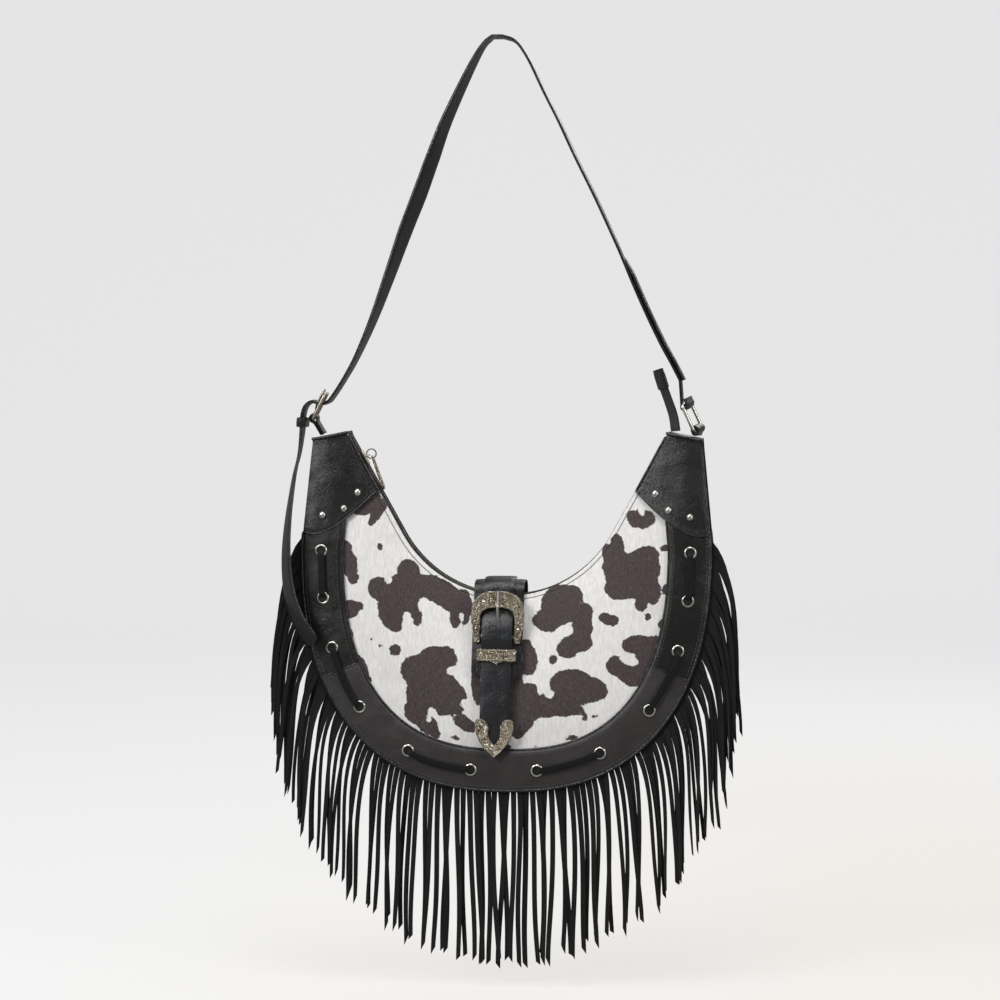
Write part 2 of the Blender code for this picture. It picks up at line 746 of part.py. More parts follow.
def zip_pull(place, down, out, surface, slide):
    """The pull: a ring on the slider's bridge and a tab on the ring."""
    bridge = place + out * (TEETH_ABOVE + GAP + SLIDER_PLATE / 2 + BRIDGE_RISE)
    hang = BRIDGE_WIRE + PULL_RING_WIRE + 2 * GAP
    centre = out * (PULL_RING_RADIUS - hang)
    ring_pivot = empty("zip_pull_ring_axis", bridge - slide.location, slide)
    x_axis = Vector((1, 0, 0))
    z_axis = Vector((0, 0, 1))
    loop = arc_points(centre, PULL_RING_RADIUS, 0, 2 * math.pi, 13, x_axis, z_axis)[:-1]
    wire("zip_pull_ring", loop, PULL_RING_WIRE, surface, ring_pivot, cyclic=True, resolution=0)
    tab_pivot = empty("zip_pull_tab_axis", centre, ring_pivot)
    fall = down * math.cos(PULL_TAB_DIP) - out * math.sin(PULL_TAB_DIP)
    thick = PULL_TAB_THICKNESS
    width = PULL_TAB_WIDTH / 2
    bore = PULL_RING_RADIUS - PULL_RING_WIRE - GAP
    rim = PULL_RING_RADIUS + PULL_RING_WIRE + GAP
    tip = rim + PULL_TAB_LENGTH
    outline = ((bore - 1.2 * MM, -1.6 * MM), (rim + 2 * MM, -width * 0.7), (tip - 3 * MM, -width),
               (tip, -width * 0.5), (tip, width * 0.5), (tip - 3 * MM, width),
               (rim + 2 * MM, width * 0.7), (bore - 1.2 * MM, 1.6 * MM))
    side = Vector((0, 1, 0))
    frame = frame_of(-fall.cross(side) * thick / 2, fall, side)
    tab = extruded("zip_pull_tab", outline, thick, frame, surface, tab_pivot)
    slot = ((bore, -0.8 * MM), (rim, -0.8 * MM), (rim, 0.8 * MM), (bore, 0.8 * MM))
    deep = frame_of(-fall.cross(side) * 3 * thick, fall, side)
    cut(tab, extruded("zip_pull_tab_slot", slot, 6 * thick, deep, surface, tab_pivot))


def rounded_loop(centre, long_axis, wide_axis, half_long, half_wide, corner, steps=3):
    """Points of a rounded rectangle."""
    points = []
    for quarter in range(4):
        sign_long = (1, 1, -1, -1)[quarter]
        sign_wide = (1, -1, -1, 1)[quarter]
        middle = centre + long_axis * sign_long * (half_long - corner)
        middle = middle + wide_axis * sign_wide * (half_wide - corner)
        start = math.pi / 2 - quarter * math.pi / 2
        for step in range(steps):
            angle = start - math.pi / 2 * step / (steps - 1)
            points.append(middle + long_axis * corner * math.cos(angle) + wide_axis * corner * math.sin(angle))
    return points


def leaning(lean, twist):
    """The along and across directions of a strap fitting."""
    long_axis = Vector((-math.sin(lean), 0, math.cos(lean)))
    wide_axis = Vector((math.sin(twist), math.cos(twist), 0))
    wide_axis = (wide_axis - long_axis * wide_axis.dot(long_axis)).normalized()
    return long_axis, wide_axis


def looped_tab(name, bar, foot, wide_axis, width, surface, parent, turns=7):
    """A leather tab: two layers from its foot, looped round a bar."""
    rise = (bar - foot).normalized()
    side = wide_axis.cross(rise).normalized()
    radius = WIRE_RADIUS + 2 * GAP + TAB_THICKNESS / 2
    layer = TAB_THICKNESS / 2 + GAP
    spread = math.radians(50)
    arc = arc_points(bar, radius, -math.pi / 2 + spread, 3 * math.pi / 2 - spread, turns, side, rise)
    neck = bar - rise * radius * 1.5
    points = [foot + side * layer, neck + side * layer] + arc + [neck - side * layer, foot - side * layer]
    stations = route_stations(points, width / 2, [0] * len(points), wide_axis)
    return strip(name, stations, TAB_THICKNESS, surface, parent)


STRAP_LEFT = ((-4, 1.5), (-11.3, -5.6), (-21.9, -24.6), (-38.6, -60), (-48.8, -86.9), (-59.3, -115.5),
              (-69.8, -142), (-80.6, -172), (-93.8, -207.4), (-106.5, -236), (-116.3, -253.5))
STRAP_RIGHT = ((4, 1.5), (14, -2.5), (23.5, -16), (34.5, -39), (46.1, -62), (57.5, -86.5), (72.8, -117.5),
               (84.3, -142.3), (92, -159.5), (101.6, -182.5), (111, -203.6), (121.8, -226),
               (130, -241), (136.5, -253.5))


def strap_side(points, hand):
    """Stations of one side of the strap, from the flat top down to its round end on the swing axis."""
    route = [Vector((x, 0, z)) * MM for x, z in points]
    count = len(route)
    twists = []
    for index in range(count):
        share = index / (count - 1)
        twists.append(STRAP_TWIST * math.sin(math.pi * share) ** 2 if hand < 0 else 0)
    stations = route_stations(route, STRAP_WIDTH / 2, twists)
    run = (route[-1] - route[-2]).normalized()
    middle, half, normal = stations[-1]
    side = half.normalized()
    stations[-1] = (middle, side * STRAP_WIDTH / 2, run.cross(side))
    for degrees in STRAP_END_STEPS:
        angle = math.radians(degrees)
        radius = STRAP_WIDTH / 2
        stations.append((middle + run * radius * math.sin(angle), side * radius * math.cos(angle),
                         run.cross(side)))
    return stations


def shoulder_strap(surface):
    """The main strap, flat at its top and round at both ends."""
    left = strap_side(STRAP_LEFT, -1)
    right = strap_side(STRAP_RIGHT, 1)
    left = [(middle, half, -normal) for middle, half, normal in reversed(left)]
    level = Vector((0, STRAP_WIDTH / 2, 0))
    up = Vector((0, 0, right[0][2].z)).normalized()
    left[-1] = (left[-1][0], level, up)
    right[0] = (right[0][0], level, up)
    return strip("shoulder_strap", left + right, STRAP_THICKNESS, surface, None)


STRAP_TAIL = ((-124.1, 0, -265.4), (-128.1, 0, -270), (-133.9, 0, -271.6), (-139.7, 0, -269.8),
              (-144.8, 0, -272.8),
              (-147.4, 0, -279.5), (-148.2, 0, -290), (-149.8, -4, -308), (-153, -12, -328),
              (-155.2, -27, -362), (-155.2, -33, -390), (-152, -34, -415), (-145, -34.5, -434),
              (-134, -35, -451))
TAIL_TWISTS = (0, 0, 0, 0, 0, 0, 0, 8, 20, 35, 42, 50, 60, 68)


def end_below(points):
    """Where the next piece starts, a gap below the strap's round end, and its direction."""
    top = Vector((points[-1][0], 0, points[-1][1])) * MM
    above = Vector((points[-2][0], 0, points[-2][1])) * MM
    run = (top - above).normalized()
    return top + run * (STRAP_WIDTH / 2 + GAP), run


def strap_left_end(surface, parent):
    """The strap's left end: through the buckle frame, over the keeper and down to its free tip."""
    start, run = end_below(STRAP_LEFT)
    points = [start] + [Vector(p) * MM for p in STRAP_TAIL]
    twists = [0] + [math.radians(-t) for t in TAIL_TWISTS]
    stations = route_stations(points, STRAP_WIDTH / 2, twists)
    side = Vector((0, 1, 0))
    stations[0] = (start, side * STRAP_WIDTH / 2, run.cross(side))
    middle, half, normal = stations[-1]
    stations[-1] = (middle, half * 0.3, normal)
    tip = points[-1] - (points[-1] - points[-2]).normalized() * 7 * MM
    stations.insert(-1, (tip, half, normal))
    return strip("strap_end_left", stations, STRAP_THICKNESS * 0.8, surface, parent)


def strap_right_end(surface, parent):
    """The strap's right end, folded round the ring's upper bar."""
    start, run = end_below(STRAP_RIGHT)
    long_axis, wide_axis = leaning(RING_LEAN, RING_TWIST)
    bar = RING_PLACE + long_axis * RING_HALF_LENGTH
    thickness = STRAP_THICKNESS * 0.8
    radius = WIRE_RADIUS + 2 * GAP + thickness / 2
    side = wide_axis.cross(long_axis).normalized()
    if side.x > 0:
        side = -side
    arc = arc_points(bar, radius, math.radians(20), math.radians(-200), 7, side, long_axis)
    points = [start] + arc + [arc[-1] + long_axis * 3 * MM]
    stations = route_stations(points, STRAP_WIDTH / 2, [0] * len(points), wide_axis)
    level = Vector((0, 1, 0))
    stations[0] = (start, level * STRAP_WIDTH / 2, run.cross(level))
    return strip("strap_end_right", stations, thickness, surface, parent)


def closure_base(drop):
    """How far the body stands out under the closure, across its whole width."""
    z = -INNER_RADIUS - max(drop, 0)
    reach = [half_depth(CLOSURE_X + FLAP_WIDTH / 2 * side, z) for side in (-1, 0, 1)]
    return max(reach)


def closure_path(drop, height):
    """A point at a drop below the zip line, a height in front of the body."""
    x = CLOSURE_X + drop * math.tan(CLOSURE_LEAN)
    return Vector((x, -closure_base(drop) - height, -INNER_RADIUS - drop))


def flap_height(drop):
    """The height of the flap's underside over the panel, rising over the snap."""
    rise = min(max((drop - 12 * MM) / (26 * MM), 0), 1)
    return 2 * GAP + 2 * (SNAP_RISE + GAP) * rise


def belt_height(drop):
    """The height of the belt's underside over the panel."""
    drops = (0, 6, 22, 32, 38, 50, 64, 95, 130)
    over_flap = flap_height(FLAP_LENGTH) + FLAP_THICKNESS + GAP
    over_bar = over_flap + 2 * BAR_RADIUS + 4 * GAP
    band = CHANNEL_HEIGHT + BAND_THICKNESS + 3 * GAP
    low = 3 * GAP + FLAP_THICKNESS
    heights = (low, low, over_bar, over_bar, over_flap, over_flap, over_flap, band, band + GAP)
    return float(np.interp(drop / MM, drops, heights))


ARCH_STEPS = 5


def arch_points(height, back_drop):
    """The profile over the top of the bag, from the front at drop 0 to the back."""
    front = closure_path(0, height(0))
    x = CLOSURE_X
    reach = -front.y
    top = FLAP_ARCH + height(0) - GAP
    points = []
    for step in range(1, ARCH_STEPS + 1):
        angle = math.pi * step / (ARCH_STEPS + 1)
        points.append(Vector((x, -reach * math.copysign(abs(math.cos(angle)) ** 0.7, math.cos(angle)),
                              -INNER_RADIUS + top * math.sin(angle) ** 0.6)))
    points.append(Vector((x, reach, -INNER_RADIUS)))
    points.append(Vector((x, closure_base(back_drop) + height(0), -INNER_RADIUS - back_drop)))
    return points


def closure_strip(name, drops, height, thickness, half_widths, to_back, surface, parent):
    """A strip down the front, and over the top to the back where it is sewn."""
    points = [closure_path(drop, height(drop) + thickness / 2) for drop in drops]
    arch = arch_points(lambda drop: height(drop) + thickness / 2, FLAP_BACK_DROP)
    arch = arch if to_back else arch[:ARCH_STEPS - 1]
    points += arch
    half_widths = list(half_widths) + [half_widths[-1]] * len(arch)
    across = Vector((1, 0, 0))
    stations = route_stations(points, 1, [0] * len(points), across)
    place = parent.location
    moved = [(middle - place, half * width, normal)
             for (middle, half, normal), width in zip(stations, half_widths)]
    return strip(name, moved, thickness, surface, parent)


def flap(surface, parent):
    """The wide flap: its lower end rounded."""
    drops = [FLAP_LENGTH - d * MM for d in (0, 1.5, 5, 12, 26, 38, 50)]
    half = FLAP_WIDTH / 2
    widths = [half * w for w in (0.55, 0.8, 0.97, 1, 1, 1, 1)]
    return closure_strip("closure_flap", drops + [0], flap_height, FLAP_THICKNESS, widths + [half],
                         True, surface, parent)


def belt(surface, parent):
    """The belt strip down the closure: through the buckle and keeper to its metal tip."""
    half = BELT_WIDTH / 2
    drops = [BELT_LENGTH] + [BELT_LENGTH - d * MM for d in (8, 17)]
    drops += [d * MM for d in (80, 62, 50, 38, 32, 22, 14, 6, 0)]
    widths = [half * 0.1, half * 0.55, half] + [half] * 9
    made = closure_strip("belt", drops, belt_height, BELT_THICKNESS, widths, False, surface, parent)
    spot = closure_path(SLOT_DROP, 0) - parent.location
    wide = SLOT_HALF_WIDTH
    high = SLOT_HALF_LENGTH
    outline = ((-wide, -high), (wide, -high), (wide, high), (-wide, high))
    frame = frame_of(spot + Vector((0, 2 * MM, 0)), Vector((1, 0, 0)), Vector((0, 0, 1)))
    cut(made, extruded("belt_slot", outline, 14 * MM, frame, surface, parent))
    return made


def anchor(surface, parent):
    """The flap's sewn end on the back of the bag."""
    half = FLAP_WIDTH / 2
    drops = (FLAP_BACK_DROP + FLAP_THICKNESS, 16 * MM, 28 * MM, ANCHOR_LENGTH + 4 * MM)

    def at(lift):
        def rule(u, v):
            width = half * (1, 1, 1, 0.6)[round(u * 3)]
            place = Vector((CLOSURE_X + width * (2 * v - 1), 0, -INNER_RADIUS - drops[round(u * 3)]))
            return on_body(place, lift, BACK)
        return rule
    return finish("flap_anchor", slab(3, 2, at(GAP + FLAP_THICKNESS), at(GAP)), surface, parent)


def snap(name, height, surface, parent, place):
    """A thin round snap disc."""
    frame = closure_frame(SNAP_DROP, height, place)
    mesh = bmesh.new()
    bmesh.ops.create_cone(mesh, cap_ends=True, segments=16, radius1=SNAP_RADIUS, radius2=SNAP_RADIUS,
                          depth=SNAP_RISE, matrix=frame @ Matrix.Translation((0, 0, SNAP_RISE / 2)))
    return finish(name, mesh, surface, parent)


def closure_frame(drop, height, place):
    """A frame on the closure at a drop and height: X to the right, Y up, Z out of the front."""
    low = closure_path(drop + 6 * MM, height)
    high = closure_path(drop - 6 * MM, height)
    up = (high - low).normalized()
    right = Vector((1, 0, 0))
    right = (right - up * right.dot(up)).normalized()
    return frame_of(closure_path(drop, height) - place, right, up)


def belt_buckle(surface, parent):
    """The western buckle: a broad horseshoe arch whose arms taper, with a bar under the belt."""
    place = parent.location
    outer = []
    inner = []
    for step in range(13):
        angle = math.pi * step / 12
        c = math.copysign(abs(math.cos(angle)) ** 0.75, math.cos(angle))
        s = math.sin(angle) ** 0.75
        outer.append((ARCH_HALF_WIDTH * c, ARCH_HEIGHT - ARCH_HALF_WIDTH + ARCH_HALF_WIDTH * s))
        inner_top = ARCH_HEIGHT - ARCH_BAND
        inner_rise = ARCH_OPENING_HALF * 0.75
        inner.append((ARCH_OPENING_HALF * c, inner_top - inner_rise + inner_rise * s))
    right_arm = [(ARCH_OPENING_HALF + ARM_END, 0)]
    left_arm = [(-ARCH_OPENING_HALF - ARM_END, 0)]
    outline = right_arm + outer + left_arm + [(-ARCH_OPENING_HALF, 0)] + inner[::-1]
    outline.append((ARCH_OPENING_HALF, 0))
    drop = FRAME_BAR_DROP
    base = flap_height(FLAP_LENGTH) + FLAP_THICKNESS + GAP
    low = closure_path(drop, base)
    high = closure_path(drop - ARCH_HEIGHT, belt_height(0) + BELT_THICKNESS + 3.4 * MM)
    up = (high - low).normalized()
    right = Vector((1, 0, 0))
    right = (right - up * right.dot(up)).normalized()
    frame = frame_of(low - place, right, up)
    body = extruded("belt_buckle_frame", outline, ARCH_THICKNESS, frame, surface, parent, 0.8 * MM)
    bar_up = up * FRAME_BAR_RISE + frame.to_3x3() @ Vector((0, 0, BAR_RADIUS))
    start = low - place + bar_up - right * 14 * MM
    end = low - place + bar_up + right * 14 * MM
    bar = wire("belt_buckle_bar", [start, end], BAR_RADIUS, surface, parent, resolution=1)
    joined(body, bridge_mesh(bar))
    return frame


def buckle_prong(frame, surface, parent):
    """The prong: from beside the bar, out through the belt's slot and over the arch."""
    points = ((0, 7.3, 1.1), (0, 12, 0.3), (0, 16, -0.5), (0, 25.2, 3.9), (0, 29, 4.1), (0, 38.5, 4.0))
    route = [frame @ (Vector(p) * MM) for p in points]
    return wire("belt_buckle_prong", route, PRONG_RADIUS, surface, parent)


def keeper(surface, parent):
    """The metal keeper: a plate over the belt with two legs to the flap."""
    place = parent.location
    leg = flap_height(FLAP_LENGTH) + FLAP_THICKNESS + GAP
    frame = closure_frame(KEEPER_DROP, leg, place)
    top = BELT_THICKNESS + GAP
    half = KEEPER_HALF_WIDTH
    inner = BELT_WIDTH / 2 + 1.2 * MM
    outline = ((-half, 0), (-inner, 0), (-inner, top), (inner, top), (inner, 0), (half, 0),
               (half, top + METAL_PLATE), (-half, top + METAL_PLATE))
    turned_frame = frame @ Matrix(((1, 0, 0, 0), (0, 0, -1, KEEPER_HEIGHT / 2), (0, 1, 0, 0), (0, 0, 0, 1)))
    body = extruded("belt_keeper", outline, KEEPER_HEIGHT, turned_frame, surface, parent)
    point = ((-6 * MM, -KEEPER_HEIGHT / 2 + 1 * MM), (0, -KEEPER_HEIGHT / 2 - KEEPER_POINT),
             (6 * MM, -KEEPER_HEIGHT / 2 + 1 * MM))
    lifted = frame @ Matrix.Translation((0, 0, top))
    joined(body, extruded("belt_keeper_point", point, METAL_PLATE, lifted, surface, parent))
    return body


def belt_tip(surface, parent):
    """The metal tip: a V with two lobes and a notch between them, on the belt's end."""
    place = parent.location
    height = belt_height(BELT_LENGTH) + BELT_THICKNESS + GAP
    frame = closure_frame(BELT_LENGTH, height, place)
    outline = ((0, -1.5), (4, 2), (9.5, 8.5), (13.2, 15), (14.4, 20), (14.4, 26.5), (12.5, 27.6),
               (8.5, 26.8), (5, 24.5), (4.2, 20.5), (4.4, 15), (0.6, 8.5))
    points = [(x * MM, y * MM) for x, y in outline]
    points += [(-x, y) for x, y in reversed(points[1:])]
    return extruded("belt_tip", points, METAL_PLATE, frame, surface, parent, 0.5 * MM)


def zip_end(surface, parent):
    """The zip's free end: a tape tail with a leather cap, standing up from the right horn."""
    points = [Vector(p) * MM for p in ((133, 0, -291.5), (131.2, 0, -280), (127, 0, -267.5),
                                       (123.7, 0, -258.6), (123.3, 0, -257.4), (119.5, 0, -245.5))]
    twists = [math.radians(30)] * len(points)
    stations = route_stations(points, 1, twists)
    widths = (6.5, 6.2, 5.8, 5.8, 8.2, 8.2)
    sized = [(middle, half * width * MM, normal) for (middle, half, normal), width in zip(stations, widths)]
    return strip("zip_end_tab", sized, 2.4 * MM, surface, parent)


def strap_fittings(metals, leather, parent):
    """The ring, the pin buckle, their tabs and the leather keeper."""
    up = cap_top_direction(1)
    ring_long, ring_wide = leaning(RING_LEAN, RING_TWIST)
    loop = rounded_loop(RING_PLACE, ring_long, ring_wide, RING_HALF_LENGTH, BUCKLE_HALF_WIDTH, FRAME_CORNER)
    wire("strap_ring", loop, WIRE_RADIUS, metals, parent, cyclic=True)
    lift = up * (CAP_TOP_THICKNESS + 2 * GAP + 1.3 * MM)
    right_foot = BODY_PLACE + across_body(1, 0.82) + lift
    looped_tab("tab_right", RING_PLACE - ring_long * RING_HALF_LENGTH, right_foot, ring_wide, TAB_WIDTH,
               leather, parent)
    frame_long, frame_wide = leaning(FRAME_LEAN, FRAME_TWIST)
    loop = rounded_loop(FRAME_PLACE, frame_long, frame_wide, FRAME_HALF_LENGTH, BUCKLE_HALF_WIDTH, FRAME_CORNER)
    wire("strap_buckle_frame", loop, WIRE_RADIUS, metals, parent, cyclic=True)
    up_left = cap_top_direction(-1)
    left_foot = BODY_PLACE + across_body(-1, 0.75) + up_left * (CAP_TOP_THICKNESS + 2 * GAP + 1.3 * MM)
    looped_tab("tab_left", FRAME_PLACE - frame_long * FRAME_HALF_LENGTH, left_foot, frame_wide, TAB_WIDTH,
               leather, parent)
    side = frame_wide.cross(frame_long).normalized()
    if side.x > 0:
        side = -side
    rest = WIRE_RADIUS + GAP + 0.9 * MM
    prong = [FRAME_PLACE + frame_long * along_frame * MM + side * out * MM
             for along_frame, out in ((-4.5, 1.2), (0, 2.6), (8, rest / MM + 0.2), (13, rest / MM - 0.4))]
    wire("strap_buckle_prong", prong, PRONG_RADIUS, metals, parent)
    return [FRAME_PLACE + side * 3 * MM, frame_long, frame_wide]


def prong_hole(strap, spot, surface, parent):
    """The hole in the strap that the prong passes through."""
    place, long_axis, wide_axis = spot
    wide = SLOT_HALF_WIDTH
    high = 7 * MM
    outline = ((-high, -wide), (high, -wide), (high, wide), (-high, wide))
    frame = frame_of(place - long_axis.cross(wide_axis) * 2 * MM, long_axis, wide_axis)
    cut(strap, extruded("strap_prong_hole", outline, 4 * MM, frame, surface, parent))


def strap_keeper(leather, parent):
    """A leather loop round the strap's tail."""
    centre = Vector((-147.9, 0, -285.5)) * MM
    half_x = STRAP_THICKNESS * 0.4 + 3 * GAP
    half_y = STRAP_WIDTH / 2 + GAP
    wall = 1.3 * MM
    outline = ((-half_x - wall, -half_y - wall), (half_x + wall, -half_y - wall),
               (half_x + wall, half_y + wall), (-half_x - wall, half_y + wall))
    bore = ((-half_x, -half_y), (half_x, -half_y), (half_x, half_y), (-half_x, half_y))
    axis = Matrix.Rotation(math.radians(4.4), 4, "Y")
    frame = Matrix.Translation(centre) @ axis @ Matrix.Translation((0, 0, -3.5 * MM))
    body = extruded("strap_keeper", outline, 7 * MM, frame, leather, parent)
    deep = frame @ Matrix.Translation((0, 0, -3 * MM))
    cut(body, extruded("strap_keeper_bore", bore, 13 * MM, deep, leather, parent))


def build():
    """All the pieces."""
    for old in list(bpy.data.objects):
        bpy.data.objects.remove(old)
    print_cloth = material("cow_print_cloth", (0.72, 0.69, 0.67), 0.8)
    leather = material("black_leather", (0.02, 0.018, 0.017), 0.42)
    charcoal = material("charcoal_leather", (0.04, 0.037, 0.036), 0.5)
    suede = material("black_suede", (0.012, 0.01, 0.01), 0.95)
    tape = material("zip_tape", (0.015, 0.015, 0.015), 0.85)
    silver = material("antique_silver", (0.42, 0.38, 0.31), 0.35, 1.0)
    steel = material("pale_metal", (0.6, 0.57, 0.52), 0.3, 1.0)
    shoulder_strap(leather)
    swing = empty("swing_axis", (0, 0, SWING_HEIGHT))
    body = empty("body_frame", BODY_PLACE)
    world = empty("world_frame", (0, 0, 0), swing)
    world.location = (0, 0, -SWING_HEIGHT)
    panel("front_panel", FRONT, print_cloth, body)
    panel("back_panel", BACK, leather, body)
    gusset(leather, body)
    horn_cap("horn_cap_left", -1, leather, body)
    horn_cap("horn_cap_right", 1, leather, body)
    rim_start = cap_low(1) - 2.2 * MM / OUTER[1][-1]
    slot = 0.5 * MM / OUTER[1][-1]
    band_section("band_left", -rim_start, -BAND_SEAM - slot, 10, leather, body)
    band_section("band_centre", -BAND_SEAM, BAND_SEAM, 20, charcoal, body)
    band_section("band_right", BAND_SEAM + slot, rim_start, 10, leather, body)
    for hand, word in ((-1, "left"), (1, "right")):
        for index, share in enumerate(reversed(EYELET_SHARES)):
            eyelet(f"eyelet_{word}_{index + 1}", hand * share, silver, body)
        for index, place in enumerate(RIVET_PLACES):
            rivet(f"rivet_{word}_{index + 1}", hand, place, steel, body)
    strip("lace", lace_stations(), LACE_THICKNESS, suede, body)
    fringe(suede, body)
    zip_tape("zip_tape_front", FRONT, tape, body)
    zip_tape("zip_tape_back", BACK, tape, body)
    zip_teeth("zip_teeth_front", FRONT, silver, body)
    zip_teeth("zip_teeth_back", BACK, silver, body)
    place, down, out = flank_frame()
    slide = empty("zip_slide_axis", (0, 0, 0), body)
    zip_slider(place, down, out, silver, slide)
    zip_pull(place, down, out, silver, slide)
    hinge_depth = closure_base(FLAP_BACK_DROP) + flap_height(0) + FLAP_THICKNESS / 2
    closure = empty("closure_axis", (CLOSURE_X, hinge_depth, -INNER_RADIUS - FLAP_BACK_DROP), body)
    flap(leather, closure)
    belt(leather, closure)
    frame = belt_buckle(silver, closure)
    buckle_prong(frame, silver, closure)
    keeper(silver, closure)
    belt_tip(silver, closure)
    anchor(leather, body)
    snap("snap_stud", GAP, steel, body, Vector((0, 0, 0)))
    snap("snap_socket", 2 * GAP + SNAP_RISE, steel, closure, closure.location)
    tail = strap_left_end(leather, world)
    strap_right_end(leather, world)
    spot = strap_fittings(silver, leather, world)
    prong_hole(tail, spot, leather, world)
    strap_keeper(leather, world)
    zip_end(leather, world)


build()
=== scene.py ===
"""The fringed crescent shoulder bag, dressed in cow print hair, leather, suede and engraved metal."""
import json
import math
import random

import bmesh
import bpy
import numpy as np
from mathutils import Matrix, Vector

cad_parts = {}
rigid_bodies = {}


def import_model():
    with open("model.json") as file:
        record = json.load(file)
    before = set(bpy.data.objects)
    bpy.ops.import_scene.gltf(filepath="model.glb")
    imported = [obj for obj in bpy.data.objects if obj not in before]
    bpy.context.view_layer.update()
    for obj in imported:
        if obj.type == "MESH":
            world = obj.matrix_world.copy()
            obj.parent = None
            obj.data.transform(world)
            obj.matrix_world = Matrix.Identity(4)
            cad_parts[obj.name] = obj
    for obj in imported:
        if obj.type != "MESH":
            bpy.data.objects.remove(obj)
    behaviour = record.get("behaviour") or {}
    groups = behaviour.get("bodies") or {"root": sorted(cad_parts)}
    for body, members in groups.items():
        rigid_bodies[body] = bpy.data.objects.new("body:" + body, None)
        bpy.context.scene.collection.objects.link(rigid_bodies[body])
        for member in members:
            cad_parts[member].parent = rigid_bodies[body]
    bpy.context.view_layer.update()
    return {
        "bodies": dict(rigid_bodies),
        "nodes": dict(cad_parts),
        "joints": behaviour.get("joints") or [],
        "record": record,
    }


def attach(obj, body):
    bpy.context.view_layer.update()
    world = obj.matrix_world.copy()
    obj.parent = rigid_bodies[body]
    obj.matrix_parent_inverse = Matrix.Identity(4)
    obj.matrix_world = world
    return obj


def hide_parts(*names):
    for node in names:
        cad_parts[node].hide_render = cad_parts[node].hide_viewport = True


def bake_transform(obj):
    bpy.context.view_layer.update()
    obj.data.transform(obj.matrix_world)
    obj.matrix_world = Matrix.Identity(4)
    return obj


MM = 0.001
GAP = 0.3 * MM
FRONT = -1
BACK = 1

# Body outline about the centre of the inner arc, as the solid model has it
BODY_PLACE = Vector((7.5, 0, -325)) * MM
INNER_RADIUS = 89.6 * MM
FLANK_ANGLE = math.radians(61)
HORN_INNER_HEIGHT = 31 * MM
HORN_OUTER_HEIGHT = 26 * MM
HORN_OUTER_HALF = 145.5 * MM
OUTER_HALF_WIDTH = 152.5 * MM
OUTER_CENTRE_DROP = 52 * MM
OUTER_DEPTH = 181.5 * MM
OUTER_POWER = 2.4
INNER_HALF_DEPTH = 13 * MM
INNER_HORN_HALF_DEPTH = 11 * MM
OUTER_HALF_DEPTH = 27.5 * MM
OUTER_HORN_HALF_DEPTH = 12 * MM
BULGE = 8 * MM
HORN_BULGE = 2 * MM
PANEL_THICKNESS = 1.6 * MM
GUSSET_INSET = 0.6 * MM
GUSSET_THICKNESS = 1.6 * MM

# Horn caps, band, eyelets, lace and rivets
CAP_START = 0.737
CAP_SWEEP = 0.068
CAP_THIN = 1.6 * MM
CAP_THICK = 3.4 * MM
CAP_TOP_THICKNESS = 1.8 * MM
CAP_RUN_COLUMNS = 22
BAND_WIDTH = 30 * MM
BAND_THICKNESS = 1.6 * MM
BAND_FOOT = 3 * MM
CHANNEL_HEIGHT = 1.3 * MM
BAND_SEAM = 0.49
BAND_EDGE_INSET = 0.5 * MM
BAND_END_GAP = 0.5 * MM
BAND_TOP = CHANNEL_HEIGHT + GAP + BAND_THICKNESS
EYELET_SHARES = (0.075, 0.232, 0.391, 0.545, 0.66, 0.765)
EYELET_INSET = 15 * MM
LACE_WIDTH = 5.0 * MM
LACE_THICKNESS = 1.1 * MM
RIVET_PLACES = ((111.5, -12.6), (121.3, -24.6), (137, -29.6))

# Fringe
FRINGE_PITCH = 4.7 * MM
STRAND_WIDTH = 4.1 * MM
STRAND_THICKNESS = 1.0 * MM
STRAND_LENGTH = 131 * MM
STRAND_STEPS = 16
FRINGE_END_SHARE = 0.80
STRAND_SLANT = math.radians(46)
STRAND_WAVE = math.radians(3.5)
FRINGE_SEED = 7
HEADER_DEPTH = 5 * MM

# Zip
TAPE_THICKNESS = 0.8 * MM
TAPE_SINK = 0.5 * MM
TEETH_HALF_SLOT = 0.6 * MM
TEETH_WIDTH = 1.6 * MM
TEETH_BELOW = 1.6 * MM
TEETH_ABOVE = 0.6 * MM
TOOTH_PITCH = 2.2 * MM
SLIDER_PLACE = 64 * MM
SLIDER_LENGTH = 12 * MM
SLIDER_HALF_WIDTH = 4.2 * MM
SLIDER_PLATE = 1.4 * MM
BRIDGE_RISE = 3.4 * MM
BRIDGE_WIRE = 0.6 * MM
PULL_RING_RADIUS = 3.6 * MM
PULL_RING_WIRE = 0.5 * MM
PULL_TAB_LENGTH = 24 * MM
PULL_TAB_WIDTH = 8 * MM
PULL_TAB_THICKNESS = 1.6 * MM
PULL_TAB_DIP = math.radians(9)

# Strap and its hardware
STRAP_WIDTH = 19 * MM
STRAP_THICKNESS = 3 * MM
STRAP_TWIST = math.radians(25)
WIRE_RADIUS = 1.3 * MM
RING_PLACE = Vector((145.1, 0, -280.5)) * MM
RING_LEAN = math.radians(25)
RING_TWIST = math.radians(15)
RING_HALF_LENGTH = 10.3 * MM
FRAME_PLACE = Vector((-134.8, 0, -273.4)) * MM
FRAME_LEAN = math.radians(-26.5)
FRAME_TWIST = math.radians(-5)
FRAME_HALF_LENGTH = 10.0 * MM
BUCKLE_HALF_WIDTH = 12 * MM
FRAME_CORNER = 2 * MM
TAB_WIDTH = 17 * MM
TAB_THICKNESS = 1.8 * MM
PRONG_RADIUS = 0.9 * MM

